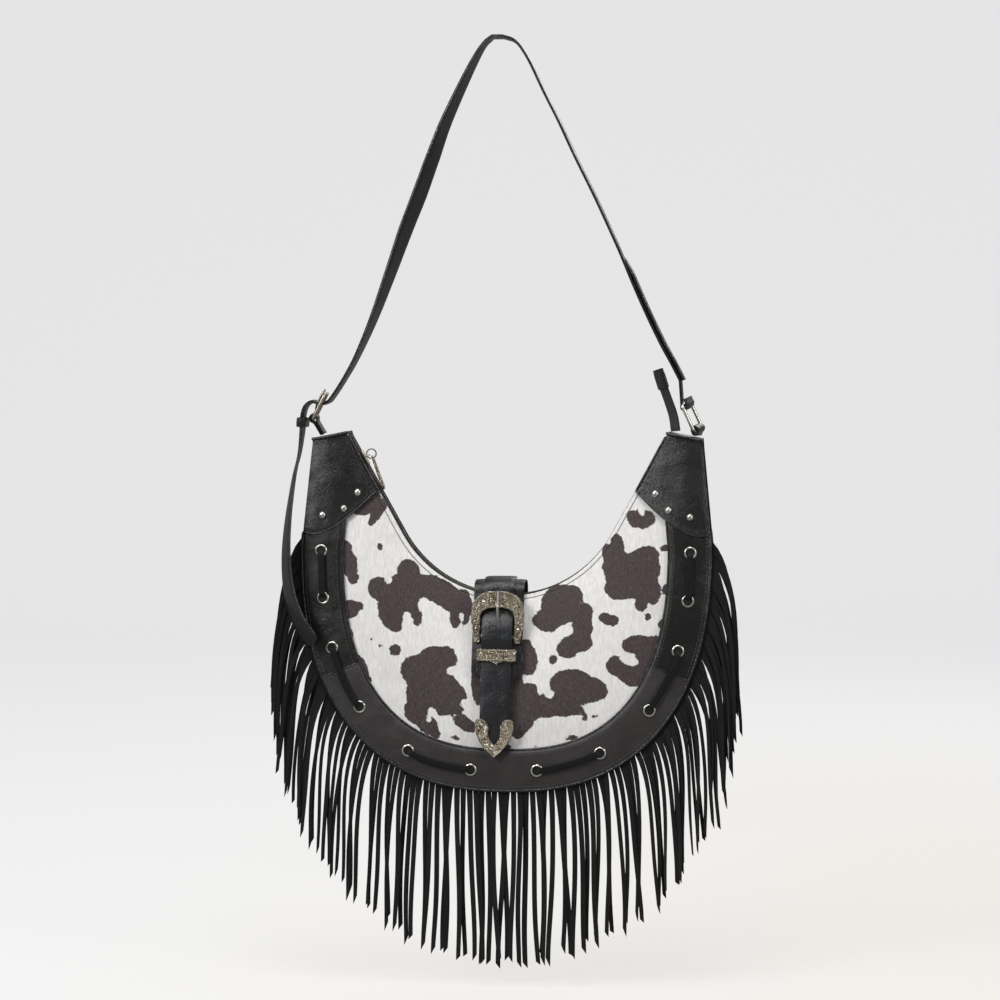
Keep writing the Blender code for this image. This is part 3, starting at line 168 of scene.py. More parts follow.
# Closure
CLOSURE_X = -5 * MM
CLOSURE_LEAN = math.radians(-0.9)
FLAP_WIDTH = 37.5 * MM
FLAP_THICKNESS = 1.8 * MM
FLAP_ARCH = 9.5 * MM
FLAP_LENGTH = 60 * MM
FLAP_BACK_DROP = 1 * MM
ANCHOR_LENGTH = 34 * MM
SNAP_RISE = 0.6 * MM
BELT_WIDTH = 22.5 * MM
BELT_THICKNESS = 2.0 * MM
BELT_LENGTH = 117 * MM
FRAME_BAR_DROP = 34 * MM
ARCH_THICKNESS = 2.6 * MM
ARCH_HEIGHT = 38.6 * MM
ARCH_HALF_WIDTH = 20 * MM
ARCH_BAND = 12.4 * MM
ARCH_OPENING_HALF = 12.9 * MM
ARM_END = 4 * MM
BAR_RADIUS = 1.0 * MM
FRAME_BAR_RISE = 5 * MM
KEEPER_DROP = 43.3 * MM
KEEPER_HEIGHT = 9 * MM
KEEPER_HALF_WIDTH = 14.6 * MM
KEEPER_POINT = 2 * MM
METAL_PLATE = 1.5 * MM

# Camera and studio
VIEW_SIDE = math.radians(6)
VIEW_RISE = math.radians(3)
VIEW_DISTANCE = 2.2
VIEW_SPAN = 0.75
VIEW_CENTRE = Vector((0.0015, 0, -0.3435))
SENSOR_WIDTH = 36
FLOOR_HEIGHT = -0.706
FLOOR_HALF_WIDTH = 6
FLOOR_START = -3
FLOOR_RUN = 7.4
FLOOR_BEND = 2.6
FLOOR_BEND_RUN = 1.4
FLOOR_TONE = (0.15, 0.148, 0.146)
WALL_GLOW = (0.73, 0.73, 0.73)
# painted shadow: a darker, warmer glow for the floor at the front right, standing in for a warm shadow there
FLOOR_SHADOW_GLOW = (0.71, 0.685, 0.655)
GLOSS_SHARE = 0.25
WORLD_STRENGTH = 0.16
WORLD_SEEN = (0.87, 0.87, 0.87, 1)
LAMP_AIM = Vector((0, 0, -0.4))
LAMPS = (("lamp_left", (-1.5, -1.6, 0.9), 0.9, 42), ("lamp_right", (1.7, -1.0, 0.3), 0.8, 14),
         ("lamp_top", (0, -0.7, 1.5), 0.9, 26), ("lamp_back", (0.6, 1.6, 0.8), 1.2, 14))


class Value:
    """A shader socket that can be used in sums and products."""

    def __init__(self, paint, socket):
        self.paint = paint
        self.socket = socket

    def maths(self, operation, first, second=0.0, third=0.0):
        """A Math node on values."""
        made = self.paint.node("ShaderNodeMath", {"operation": operation}, {0: first, 1: second, 2: third})
        return Value(self.paint, made.outputs[0])

    def __add__(self, other):
        return self.maths("ADD", self, other)

    def __radd__(self, other):
        return self.maths("ADD", other, self)

    def __sub__(self, other):
        return self.maths("SUBTRACT", self, other)

    def __rsub__(self, other):
        return self.maths("SUBTRACT", other, self)

    def __mul__(self, other):
        return self.maths("MULTIPLY", self, other)

    def __rmul__(self, other):
        return self.maths("MULTIPLY", other, self)

    def __truediv__(self, other):
        return self.maths("DIVIDE", self, other)

    def power(self, other):
        """This value to a power."""
        return self.maths("POWER", self, other)

    def size(self):
        """This value without its sign."""
        return self.maths("ABSOLUTE", self)

    def sine(self):
        """The sine of this value."""
        return self.maths("SINE", self)

    def most(self, other):
        """The greater of two values."""
        return self.maths("MAXIMUM", self, other)

    def step(self, low, high):
        """A smooth step from 0 at low to 1 at high."""
        made = self.paint.node("ShaderNodeMapRange", {"interpolation_type": "SMOOTHSTEP"},
                               {"Value": self, "From Min": low, "From Max": high})
        return Value(self.paint, made.outputs["Result"])


class Paint:
    """A Principled material put together node by node."""

    def __init__(self, name, **constants):
        self.surface = bpy.data.materials.new(name)
        self.surface.use_nodes = True
        self.tree = self.surface.node_tree
        self.shader = self.tree.nodes["Principled BSDF"]
        for key, value in constants.items():
            self.shader.inputs[key.replace("_", " ").title().replace("Ior", "IOR")].default_value = value

    def node(self, kind, settings, values):
        """Any node, from its type, its settings and what goes into its sockets."""
        made = self.tree.nodes.new(kind)
        for key, value in settings.items():
            if key == "stops":
                self.set_stops(made.color_ramp, value)
            else:
                setattr(made, key, value)
        for key, value in values.items():
            self.feed(made.inputs[key], value)
        return made

    def set_stops(self, ramp, stops):
        """The places and colours of a ramp."""
        while len(ramp.elements) < len(stops):
            ramp.elements.new(0.5)
        for element, (place, colour) in zip(ramp.elements, stops):
            element.position = place
            element.color = (*colour, 1)

    def feed(self, socket, value):
        """Links a value into a socket, or sets it."""
        if isinstance(value, Value):
            self.tree.links.new(value.socket, socket)
        else:
            socket.default_value = value

    def place(self):
        """The place on the object, in metres."""
        return Value(self, self.node("ShaderNodeTexCoord", {}, {}).outputs["Object"])

    def spread(self, vector, scale, turn=(0, 0, 0)):
        """A place stretched and turned."""
        made = self.node("ShaderNodeMapping", {}, {"Vector": vector, "Scale": scale, "Rotation": turn})
        return Value(self, made.outputs["Vector"])

    def attribute(self, name):
        """A number that the mesh carries."""
        made = self.node("ShaderNodeAttribute", {"attribute_name": name}, {})
        return Value(self, made.outputs["Fac"])

    def noise(self, vector, scale, detail=2.0, roughness=0.5, distortion=0.0):
        """Soft noise from 0 to 1."""
        made = self.node("ShaderNodeTexNoise", {}, {"Vector": vector, "Scale": scale, "Detail": detail,
                                                    "Roughness": roughness, "Distortion": distortion})
        return Value(self, made.outputs["Fac"])

    def cells(self, vector, scale, feature="F1"):
        """The distance to the nearest point or edge of a field of cells."""
        made = self.node("ShaderNodeTexVoronoi", {"feature": feature}, {"Vector": vector, "Scale": scale})
        return Value(self, made.outputs["Distance"])

    def shifted(self, vector, amount):
        """A place moved by an amount."""
        made = self.node("ShaderNodeVectorMath", {"operation": "ADD"}, {0: vector, 1: amount})
        return Value(self, made.outputs["Vector"])

    def wander(self, vector, scale, reach):
        """A place that wanders by up to a reach."""
        made = self.node("ShaderNodeTexNoise", {}, {"Vector": vector, "Scale": scale, "Detail": 1.0})
        centred = self.node("ShaderNodeVectorMath", {"operation": "SUBTRACT"},
                            {0: Value(self, made.outputs["Color"]), 1: (0.5, 0.5, 0.5)})
        scaled = self.node("ShaderNodeVectorMath", {"operation": "SCALE"},
                           {0: Value(self, centred.outputs["Vector"]), "Scale": reach})
        return self.shifted(vector, Value(self, scaled.outputs["Vector"]))

    def blend(self, share, first, second):
        """A colour between two."""
        made = self.node("ShaderNodeMix", {"data_type": "RGBA"}, {"Factor": share})
        self.feed(made.inputs[6], first if isinstance(first, Value) else (*first, 1))
        self.feed(made.inputs[7], second if isinstance(second, Value) else (*second, 1))
        return Value(self, made.outputs[2])

    def colour(self, value):
        """Sets the base colour."""
        self.feed(self.shader.inputs["Base Color"], value if isinstance(value, Value) else (*value, 1))

    def rough(self, value):
        """Sets the roughness."""
        self.feed(self.shader.inputs["Roughness"], value)

    def relief(self, height, depth, strength=1.0):
        """A bump of a height from 0 to 1 and a depth in metres."""
        made = self.node("ShaderNodeBump", {}, {"Height": height, "Distance": depth, "Strength": strength})
        self.tree.links.new(made.outputs["Normal"], self.shader.inputs["Normal"])


def leather(name, tone, gloss, grain=1.0, sheen=0.0):
    """Smooth black leather: a fine pebble grain, soft creases and slightly uneven gloss."""
    paint = Paint(name, sheen_weight=sheen, specular_ior_level=0.5)
    place = paint.place()
    drift = paint.noise(place, 28, 3, 0.6)
    pebble = paint.cells(paint.wander(place, 500, 0.0006), 1500)
    fine = paint.noise(place, 2600, 2)
    crease = paint.noise(paint.spread(place, (1, 1, 2.5)), 95, 4, 0.62)
    swell = paint.noise(place, 32, 2, 0.5)
    paint.colour(paint.blend(drift.step(0.3, 0.75), [c * 0.8 for c in tone], [c * 1.3 for c in tone]))
    paint.rough(gloss + drift * 0.12 + pebble * 0.08 - 0.06)
    paint.relief(pebble * 0.4 * grain + fine * 0.2 + crease * 0.5 + swell * 7.0, 0.0004)
    return paint.surface


def cow_hair():
    """Short-haired cloth with cow print; the mesh carries each place's distance into a blotch."""
    paint = Paint("cow_print_hair", sheen_weight=0.15, sheen_roughness=0.4)
    place = paint.place()
    combed = paint.spread(place, (1, 1, 0.16), (0, math.radians(7), 0))
    hair = paint.noise(combed, 2100, 2, 0.6)
    locks = paint.noise(combed, 800, 3, 0.6)
    # painted shade: broad soft patches where the white hair is darkened towards warm grey, standing in for
    # shading on the cloth
    painted_shade = paint.noise(place, 26, 3, 0.55)
    print_depth = paint.attribute("blotch")
    ragged = print_depth + (paint.noise(place, 230, 4, 0.65) - 0.5) * 4.2 + (hair - 0.5) * 0.8
    dark = ragged.step(-0.35, 0.35)
    white = paint.blend(locks.step(0.3, 0.75), (0.69, 0.675, 0.66), (0.82, 0.812, 0.80))
    # the white hair darkened in the painted shade patches
    white = paint.blend(painted_shade.step(0.52, 0.8) * 0.35, white, (0.55, 0.50, 0.47))
    brown = paint.blend(hair.step(0.4, 0.7), (0.030, 0.018, 0.020), (0.085, 0.058, 0.062))
    stitched = (paint.attribute("rim") - 3.0).size().step(0.55, 0.15)
    coloured = paint.blend(dark, white, brown)
    paint.colour(paint.blend(stitched * 0.6, coloured, (0.03, 0.027, 0.026)))
    paint.rough(0.62 + hair * 0.2)
    paint.relief(hair * 0.55 + locks * 0.7 - stitched * 1.2, 0.0005)
    return paint.surface


def suede(name, tone):
    """Matte suede with a short nap."""
    paint = Paint(name, sheen_weight=0.08, sheen_roughness=0.6, specular_ior_level=0.2)
    place = paint.place()
    nap = paint.noise(paint.spread(place, (1, 1, 0.4)), 1500, 3, 0.65)
    drift = paint.noise(place, 60, 3)
    paint.colour(paint.blend(drift.step(0.3, 0.7) * nap, [c * 0.7 for c in tone], [c * 1.9 for c in tone]))
    paint.rough(0.86 + nap * 0.12)
    paint.relief(nap + drift * 0.6, 0.0004)
    return paint.surface


def woven(name, tone):
    """Close-woven tape."""
    paint = Paint(name, sheen_weight=0.1)
    place = paint.place()
    ribs = paint.node("ShaderNodeTexWave", {"wave_type": "BANDS"}, {"Vector": place, "Scale": 700.0,
                                                                  "Distortion": 0.6})
    rib = Value(paint, ribs.outputs["Fac"])
    fine = paint.noise(place, 1800, 2)
    paint.colour(paint.blend(rib * fine, [c * 0.6 for c in tone], [c * 1.7 for c in tone]))
    paint.rough(0.8 + fine * 0.15)
    paint.relief(rib + fine * 0.4, 0.0002)
    return paint.surface


def engraved(name, scale=330.0, depth=0.0007):
    """Antique silver with scrolls in relief and dark hollows."""
    paint = Paint(name, metallic=1.0)
    place = paint.place()
    curl = paint.wander(place, 260, 0.006)
    rings = paint.cells(curl, scale)
    scroll = (rings * 26.0).sine() * 0.5 + 0.5
    edges = paint.cells(curl, scale, "DISTANCE_TO_EDGE")
    relief = scroll * edges.step(0.0, 0.07)
    high = relief.step(0.12, 0.5)
    worn = paint.noise(place, 90, 3, 0.6)
    silver = paint.blend(worn.step(0.3, 0.75), (0.68, 0.60, 0.46), (0.90, 0.83, 0.70))
    paint.colour(paint.blend(high, (0.10, 0.078, 0.05), silver))
    paint.rough(0.42 - high * 0.2 + worn * 0.1)
    paint.relief(relief, depth)
    return paint.surface


def plain_metal(name, tone, gloss, wear=0.12):
    """Cast metal, softly polished with fine scratches."""
    paint = Paint(name, metallic=1.0)
    place = paint.place()
    worn = paint.noise(place, 140, 4, 0.6)
    scratch = paint.noise(paint.spread(place, (1, 1, 0.08)), 1900, 2)
    paint.colour(paint.blend(worn.step(0.35, 0.7), [c * 0.72 for c in tone], tone))
    paint.rough(gloss + worn * wear + scratch * 0.08)
    paint.relief(worn * 0.5 + scratch * 0.3, 0.00012)
    return paint.surface


def thread(name, tone):
    """Twisted sewing thread."""
    paint = Paint(name, specular_ior_level=0.35)
    place = paint.place()
    twist = paint.noise(place, 3500, 1)
    paint.colour(paint.blend(twist, [c * 0.6 for c in tone], tone))
    paint.rough(0.6 + twist * 0.2)
    paint.relief(twist, 0.00012)
    return paint.surface


def piece(name, mesh, surface, body, nodes=(), sharp=40):
    """A finished piece from a bmesh, riding on a body and standing for CAD nodes."""
    mesh.normal_update()
    bmesh.ops.recalc_face_normals(mesh, faces=mesh.faces)
    if mesh.calc_volume(signed=True) < 0:
        bmesh.ops.reverse_faces(mesh, faces=mesh.faces)
    data = bpy.data.meshes.new(name)
    mesh.to_mesh(data)
    mesh.free()
    data.shade_smooth()
    data.set_sharp_from_angle(angle=math.radians(sharp))
    data.materials.append(surface)
    made = bpy.data.objects.new(name, data)
    bpy.context.collection.objects.link(made)
    if body:
        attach(made, body)
    if nodes:
        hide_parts(*nodes)
    return made


def measured(points):
    """Points of a path with the length up to each."""
    points = np.array(points)
    steps = np.linalg.norm(np.diff(points, axis=0), axis=1)
    return points, np.concatenate(([0], np.cumsum(steps)))


def inner_half():
    """The right half of the zip line, from the bottom of the arc to the tip of the horn."""
    turn = np.linspace(0, FLANK_ANGLE, 60)
    arc = [(INNER_RADIUS * math.sin(a), -INNER_RADIUS * math.cos(a)) for a in turn]
    rise = HORN_INNER_HEIGHT - arc[-1][1]
    flank = np.linspace(0, rise, 30)[1:]
    return arc + [(arc[-1][0] + z / math.tan(FLANK_ANGLE), arc[-1][1] + z) for z in flank]


def outer_half():
    """The right half of the outer edge, from the bottom to the tip of the horn."""
    curve = []
    for angle in np.linspace(0, math.pi / 2, 160):
        x = OUTER_HALF_WIDTH * math.sin(angle) ** (2 / OUTER_POWER)
        z = -OUTER_CENTRE_DROP - OUTER_DEPTH * max(math.cos(angle), 0) ** (2 / OUTER_POWER)
        curve.append((x, z))
    for share in np.linspace(0, 1, 30)[1:]:
        x = OUTER_HALF_WIDTH + (HORN_OUTER_HALF - OUTER_HALF_WIDTH) * share
        curve.append((x, -OUTER_CENTRE_DROP + (HORN_OUTER_HEIGHT + OUTER_CENTRE_DROP) * share))
    return curve


INNER = measured(inner_half())
OUTER = measured(outer_half())
LOWEST = -OUTER_CENTRE_DROP - OUTER_DEPTH
OUTER_LENGTH = OUTER[1][-1]


def along(outline, share):
    """Places in X and Z at shares of an outline's half length; a negative share is on the left."""
    points, lengths = outline
    share = np.asarray(share, dtype=float)
    reach = np.minimum(np.abs(share), 1) * lengths[-1]
    x = np.interp(reach, lengths, points[:, 0]) * np.where(share < 0, -1, 1)
    return np.stack((x, np.interp(reach, lengths, points[:, 1])), axis=-1)


def inward(outline, share):
    """Unit normals of an outline, upwards at the bottom."""
    step = 0.004
    share = np.asarray(share, dtype=float)
    run = along(outline, np.minimum(share + step, 1)) - along(outline, np.maximum(share - step, -1))
    run /= np.linalg.norm(run, axis=-1, keepdims=True)
    return np.stack((-run[..., 1], run[..., 0]), axis=-1)


def distances(outline, x, z):
    """How far places lie from an outline."""
    points = outline[0]
    spots = np.stack((np.abs(x), z), axis=-1)[:, None, :]
    start = points[:-1]
    run = points[1:] - start
    share = np.clip(((spots - start) * run).sum(-1) / (run * run).sum(-1), 0, 1)
    return np.linalg.norm(spots - start - share[..., None] * run, axis=-1).min(-1)


def half_depths(x, z):
    """Half the body's depth at places on its front."""
    rise = np.clip((z - LOWEST) / (HORN_OUTER_HEIGHT - LOWEST), 0, 1)
    inner_rise = np.clip((z + INNER_RADIUS) / (HORN_INNER_HEIGHT + INNER_RADIUS), 0, 1)
    inner = INNER_HALF_DEPTH + (INNER_HORN_HALF_DEPTH - INNER_HALF_DEPTH) * inner_rise
    outer = OUTER_HORN_HALF_DEPTH + (OUTER_HALF_DEPTH - OUTER_HORN_HALF_DEPTH) * (1 - rise ** 2)
    bulge = HORN_BULGE + (BULGE - HORN_BULGE) * (1 - rise ** 2)
    from_inner = distances(INNER, x, z)
    from_outer = distances(OUTER, x, z)
    share = from_inner / (from_inner + from_outer)
    return inner + (outer - inner) * share + 4 * bulge * share * (1 - share)


def body_normals(places, side):
    """Outward normals of the body's front or back."""
    step = 0.5 * MM
    x, z = places[:, 0], places[:, 1]
    slope_x = (half_depths(x + step, z) - half_depths(x - step, z)) / (2 * step)
    slope_z = (half_depths(x, z + step) - half_depths(x, z - step)) / (2 * step)
    normals = np.stack((-slope_x, np.full(len(x), float(side)), -slope_z), axis=-1)
    return normals / np.linalg.norm(normals, axis=-1, keepdims=True)


def on_body(places, lift, side=FRONT):
    """Points over the body's front or back in world metres, lifted off it along its normal."""
    places = np.atleast_2d(places)
    depth = side * half_depths(places[:, 0], places[:, 1])
    base = np.stack((places[:, 0], depth, places[:, 1]), axis=-1)
    lift = np.broadcast_to(np.asarray(lift, dtype=float), len(base))
    return base + body_normals(places, side) * lift[:, None] + np.array(BODY_PLACE)


def across_body(u, v):
    """Places at u along the body, -1 to 1, and v from the zip line to the outer edge."""
    v = np.asarray(v, dtype=float)[..., None]
    return along(INNER, u) * (1 - v) + along(OUTER, u) * v


def from_rim(u, inset):
    """Places at u along the outer edge, a length inside it."""
    return along(OUTER, u) + inward(OUTER, u) * np.asarray(inset, dtype=float)[..., None]


def slab(columns, rows, upper, lower, round_edge=0.0):
    """A grid bent onto upper(u, v) and thickened to lower(u, v), with its rim rounded."""
    mesh = bmesh.new()
    bmesh.ops.create_grid(mesh, x_segments=columns, y_segments=rows, size=0.5)
    low = mesh.verts.layers.float.new("low")
    made = bmesh.ops.extrude_face_region(mesh, geom=mesh.faces[:])["geom"]
    for item in made:
        if isinstance(item, bmesh.types.BMVert):
            item[low] = 1
    mesh.verts.ensure_lookup_table()
    u = np.array([round((vert.co.x + 0.5) * columns) / columns for vert in mesh.verts])
    v = np.array([round((vert.co.y + 0.5) * rows) / rows for vert in mesh.verts])
    under = np.array([vert[low] for vert in mesh.verts]) > 0.5
    points = np.where(under[:, None], lower(u, v), upper(u, v))
    for vert, point in zip(mesh.verts, points):
        vert.co = point
    if round_edge:
        rims = [edge for edge in mesh.edges if len(edge.link_faces) == 2
                and edge.calc_face_angle(0) > math.radians(60)]
        bmesh.ops.bevel(mesh, geom=rims, offset=round_edge, offset_type="OFFSET", segments=2, profile=0.5,
                        affect="EDGES", material=-1)
    return mesh


def body_slab(columns, rows, place, top, low, side=FRONT, round_edge=0.0):
    """A layer lying on the body: place(u, v) gives X and Z, top(u, v) and low(u, v) give its heights."""
    def at(height):
        return lambda u, v: on_body(place(u, v), height(u, v), side)
    return slab(columns, rows, at(top), at(low), round_edge)


def level(height):
    """A height that is the same everywhere."""
    return lambda u, v: np.full(len(u), float(height))


# The print's blotches as ovals: X and Z from the body's centre, half widths in mm, turn in degrees
BLOTCHES = (
    (-108, -16.9, 13.5, 12.8, 0), (-96, -26.6, 3.8, 12.8, -32), (-129, -60.4, 10.5, 13.5, 0),
    (-118.5, -65.6, 8.2, 9, 0), (-114, -76.1, 4.5, 5.2, 0), (-131.2, -70.9, 6, 10.5, 0),
    (-122.2, -54.4, 7.5, 6.8, -30), (-94.5, -53.2, 2.2, 2.7, 0), (-92.2, -85.1, 10.5, 8.2, 0),
    (-95.2, -80.6, 6.8, 5.2, 0), (-85.5, -101.6, 9, 14.2, 18), (-80.2, -109.9, 4.5, 6.8, 0),
    (-72.8, -73.1, 8.2, 11.2, 15), (-79.5, -80.6, 9, 7.5, 0), (-72, -88.9, 16.5, 12.8, 0),
    (-66.8, -103.1, 4.1, 9, 10), (-45.8, -88.9, 24, 9, -32), (-51, -82.9, 13.5, 6.8, -25),
    (-33, -95.6, 7.5, 11.2, 0), (-38.2, -107.6, 3.8, 6, 15), (-30, -103.9, 3.8, 8.2, -10),
    (-116.2, -99.4, 7.1, 7.1, 0), (-110.2, -96.8, 4.9, 3, 0), (-118.5, -103.1, 4.5, 3.4, 0),
    (-118.5, -118.1, 5.2, 4.5, 20), (-117, -123.4, 3.8, 3.8, 0), (-100.1, -121.1, 1.7, 1.7, 0),
    (-93, -126.4, 1.9, 1.7, 0), (-81.8, -129.4, 4.7, 4.7, 0), (-94.5, -142.9, 0.8, 1.2, 0),
    (-92.6, -145.1, 0.7, 1, 0), (-110.2, -141.4, 6.8, 9.8, 35), (-102.8, -151.9, 3.8, 3.8, 0),
    (-66, -144.4, 12, 11.2, 0), (-51, -137.6, 15, 11.2, 0), (-42.8, -132.4, 6, 5.2, 0),
    (-42, -136.9, 6, 4.5, 0), (-58.5, -160.9, 15, 15, 0), (-39.8, -158.6, 13.5, 6.8, -28),
    (-45.8, -169.1, 14.2, 9, 0), (-33.8, -172.9, 3.8, 3.8, 0), (-65.2, -174.4, 9.8, 10.5, 0),
    (-57, -184.9, 9, 6.8, -40), (-51, -191.6, 3.8, 4.5, 0), (-51, -153.4, 15, 12, 0),
    (-31.5, -181.9, 6.8, 5.2, -10), (-26.2, -185.6, 6, 4.5, -20), (-36.8, -194.6, 4.1, 2, 0),
    (-21, -155.6, 3.8, 15, 5), (18.8, -136.1, 5.6, 11.2, 0), (15, -127.1, 5.2, 6.8, 0),
    (16.5, -141.4, 6, 6, 0), (40.5, -95.6, 14.2, 15, 0), (31.5, -106.9, 10.5, 9, 0),
    (24, -107.6, 4.5, 4.5, 0), (48, -87.4, 9, 6.8, 0), (52.5, -88.9, 5.2, 5.2, 0),
    (57.8, -109.9, 7.5, 15.8, 0), (54, -123.4, 12, 6.8, 0), (46.5, -127.9, 8.2, 6.8, 0),
    (60, -100.9, 5.2, 6.8, 0), (36, -135.4, 3, 4.1, -25), (74.2, -104.6, 4.5, 4.1, 0),
    (79.5, -106.1, 6, 4.1, 0), (50.2, -153.4, 16.5, 11.2, 0), (67.5, -156.4, 10.5, 7.5, -25),
    (39, -166.1, 22.5, 8.2, 12), (16.5, -168.4, 12.8, 15, 0), (20.2, -159.4, 6, 6, 0),
    (9.8, -183.4, 8.2, 11.2, 0), (8.2, -154.9, 5.2, 10.5, 0), (15, -180.4, 6.8, 9, 0),
    (46.5, -171.4, 12, 6, 0), (57.8, -160.9, 15, 7.5, 0), (30, -171.4, 16.5, 6.8, 0),
    (60, -177.4, 2.4, 3.6, 0), (68.2, -176.6, 2.5, 1.4, 35), (50.2, -193.1, 5.2, 2, 10),
    (2.2, -199.9, 4.1, 2.5, 0), (24, -200.6, 2.2, 1.5, 0), (83.2, -52.9, 5.6, 10.5, 5),
    (77.2, -58.1, 5.2, 8.2, 15), (78, -67.1, 6, 6.8, 0), (88.5, -70.9, 15, 15, 0),
    (102.8, -67.1, 12.8, 14.2, 0), (106.5, -57.4, 7.5, 6.8, 0), (99, -81.4, 16.5, 9, 0),
    (110.2, -84.4, 6, 9.8, 0), (101.2, -94.1, 4.5, 5.2, 0), (85.5, -82.9, 12, 8.2, 0),
    (100.5, -31.1, 10.1, 7.5, 0), (93, -28.1, 3.8, 2.6, 0), (107.2, -30.4, 3.8, 4.5, 0),
    (120, -52.1, 4.5, 2.7, 0), (114, -57, 0.9, 0.9, 0), (120.8, -82.9, 3.8, 4.5, 20),
    (106.5, -103.1, 2.2, 3, 0), (117.8, -109.1, 3.8, 4.5, 0), (99.8, -123.4, 12.8, 6.8, 5),
    (108, -127.1, 9, 7.5, 0), (111, -121.9, 6, 5.2, 0), (102.8, -134.6, 6.8, 5.2, 30),
    (83.2, -139.1, 7.5, 7.5, 0), (90, -144.4, 12, 6.8, -30), (96.8, -148.9, 6.8, 6, 0),
    (103.5, -141.4, 7.5, 7.5, 0),
)
INLETS = (
    (-72.8, -109.9, 4.1, 8.2, 0), (-56.2, -102.4, 4.5, 12.8, 28), (-63, -95.6, 2.6, 4.5, 0),
    (-33, -105.4, 1.7, 4.5, 0), (-87.8, -77.6, 3, 3, 0), (-36.8, -144.4, 6.8, 3.8, 15),
    (-54, -175.9, 3, 3.8, 0), (-56.2, -180.4, 2.2, 3, 30), (-28.5, -168.4, 4.5, 3, 0),
    (36, -121.1, 6.8, 4.5, 20), (101.2, -25.1, 2.2, 3.8, 0), (90.8, -135.4, 7.5, 2.4, -25),
    (96.8, -136.9, 3, 2.2, 0), (93.8, -49.1, 5.2, 4.5, 30), (33.8, -160.9, 3.8, 3, 0),
    (27.8, -156.4, 3, 6, 0),
)


def oval_distance(x, z, oval):
    """About how far places lie inside an oval, in mm."""
    centre_x, centre_z, wide, high, turn = oval
    angle = math.radians(turn)
    across = (x - centre_x) * math.cos(angle) + (z - centre_z) * math.sin(angle)
    up = (z - centre_z) * math.cos(angle) - (x - centre_x) * math.sin(angle)
    reach = np.hypot(across / wide, up / high)
    slope = np.hypot(across / wide ** 2, up / high ** 2) + 1e-6
    return reach * (1 - reach) / slope


def blotch_depth(places):
    """How deep places lie in the print's blotches, in mm; outside it is below 0."""
    x = places[:, 0] / MM
    z = places[:, 1] / MM
    depth = np.full(len(x), -20.0)
    for oval in BLOTCHES:
        other = oval_distance(x, z, oval)
        share = np.clip(0.5 + (depth - other) / 4, 0, 1)
        depth = other * (1 - share) + depth * share + 2 * share * (1 - share)
    for oval in INLETS:
        depth = np.minimum(depth, -oval_distance(x, z, oval))
    return np.clip(depth, -20, 20)


def write_number(target, name, values):
    """Gives each vertex of a piece a number that its material reads."""
    layer = target.data.attributes.new(name, "FLOAT", "POINT")
    layer.data.foreach_set("value", np.asarray(values, dtype=np.float32))


def vertex_places(target):
    """The X and Z of a piece's vertices from the body's centre, in metres."""
    flat = np.empty(len(target.data.vertices) * 3)
    target.data.vertices.foreach_get("co", flat)
    points = flat.reshape(-1, 3) - np.array(BODY_PLACE)
    return points[:, (0, 2)]


def front_panel(cloth):
    """The cow print front, with the numbers for its print and its seam."""
    mesh = body_slab(200, 52, lambda u, v: across_body(2 * u - 1, v), level(0), level(-PANEL_THICKNESS))
    made = piece("dress_front_panel", mesh, cloth, "bag", ["front_panel"])
    places = vertex_places(made)
    write_number(made, "blotch", blotch_depth(places))
    write_number(made, "rim", distances(INNER, places[:, 0], places[:, 1]) / MM)
    return made


def back_panel(hide):
    """The plain leather back."""
    mesh = body_slab(90, 16, lambda u, v: across_body(2 * u - 1, v), level(0), level(-PANEL_THICKNESS), BACK)
    return piece("dress_back_panel", mesh, hide, "bag", ["back_panel"])


def gusset(hide):
    """The outer wall between front and back."""
    def at(inset):
        def rule(u, v):
            rim = along(OUTER, 2 * u - 1)
            reach = half_depths(rim[:, 0], rim[:, 1]) - PANEL_THICKNESS - 2 * GAP
            place = from_rim(2 * u - 1, np.full(len(u), inset))
            return np.stack((place[:, 0], (2 * v - 1) * reach, place[:, 1]), axis=-1) + np.array(BODY_PLACE)
        return rule
    mesh = slab(110, 4, at(GUSSET_INSET), at(GUSSET_INSET + GUSSET_THICKNESS))
    return piece("dress_gusset", mesh, hide, "bag", ["gusset"])


def cap_low(v):
    """Where a horn cap's lower edge crosses the body."""
    return CAP_START + CAP_SWEEP * v ** 3


def cap_thickness(v):
    """A horn cap's thickness at its lower edge: thin over the panel, thick beside the band."""
    return CAP_THIN + (CAP_THICK - CAP_THIN) * v * v * (3 - 2 * v)


def cap_top_direction(hand):
    """Straight up out of a horn's end, in X and Z."""
    run = along(OUTER, hand) - along(INNER, hand)
    up = np.array((-run[1], run[0]))
    up = up if up[1] > 0 else -up
    return up / np.linalg.norm(up)


def horn_cap(name, hand, hide, node):
    """A leather cap folded over the end of a horn, from the front over the top to the back."""
    up = cap_top_direction(hand)
    up = np.array((up[0], 0, up[1]))
    rows = 2 * CAP_RUN_COLUMNS + 2

    def at(upper, top):
        def rule(u, v):
            row = np.round(u * rows)
            front = row <= CAP_RUN_COLUMNS
            step = np.clip(np.minimum(row, rows - row) / CAP_RUN_COLUMNS, 0, 1)
            place = across_body(hand * (cap_low(v) + (1 - cap_low(v)) * step), v)
            lift = (GAP + upper * cap_thickness(v)) * (1 - step) + top * step
            points = np.where(front[:, None], on_body(place, lift, FRONT), on_body(place, lift, BACK))
            middle = across_body(np.full(len(u), float(hand)), v)
            ridge = np.stack((middle[:, 0], np.zeros(len(u)), middle[:, 1]), axis=-1) + np.array(BODY_PLACE)
            points = np.where((row == CAP_RUN_COLUMNS + 1)[:, None], ridge, points)
            return points + up * top * (step >= 1)[:, None]
        return rule
    mesh = slab(rows, 24, at(1, GAP + CAP_TOP_THICKNESS), at(0, GAP), 0.5 * MM)
    return piece(name, mesh, hide, "bag", [node], sharp=60)


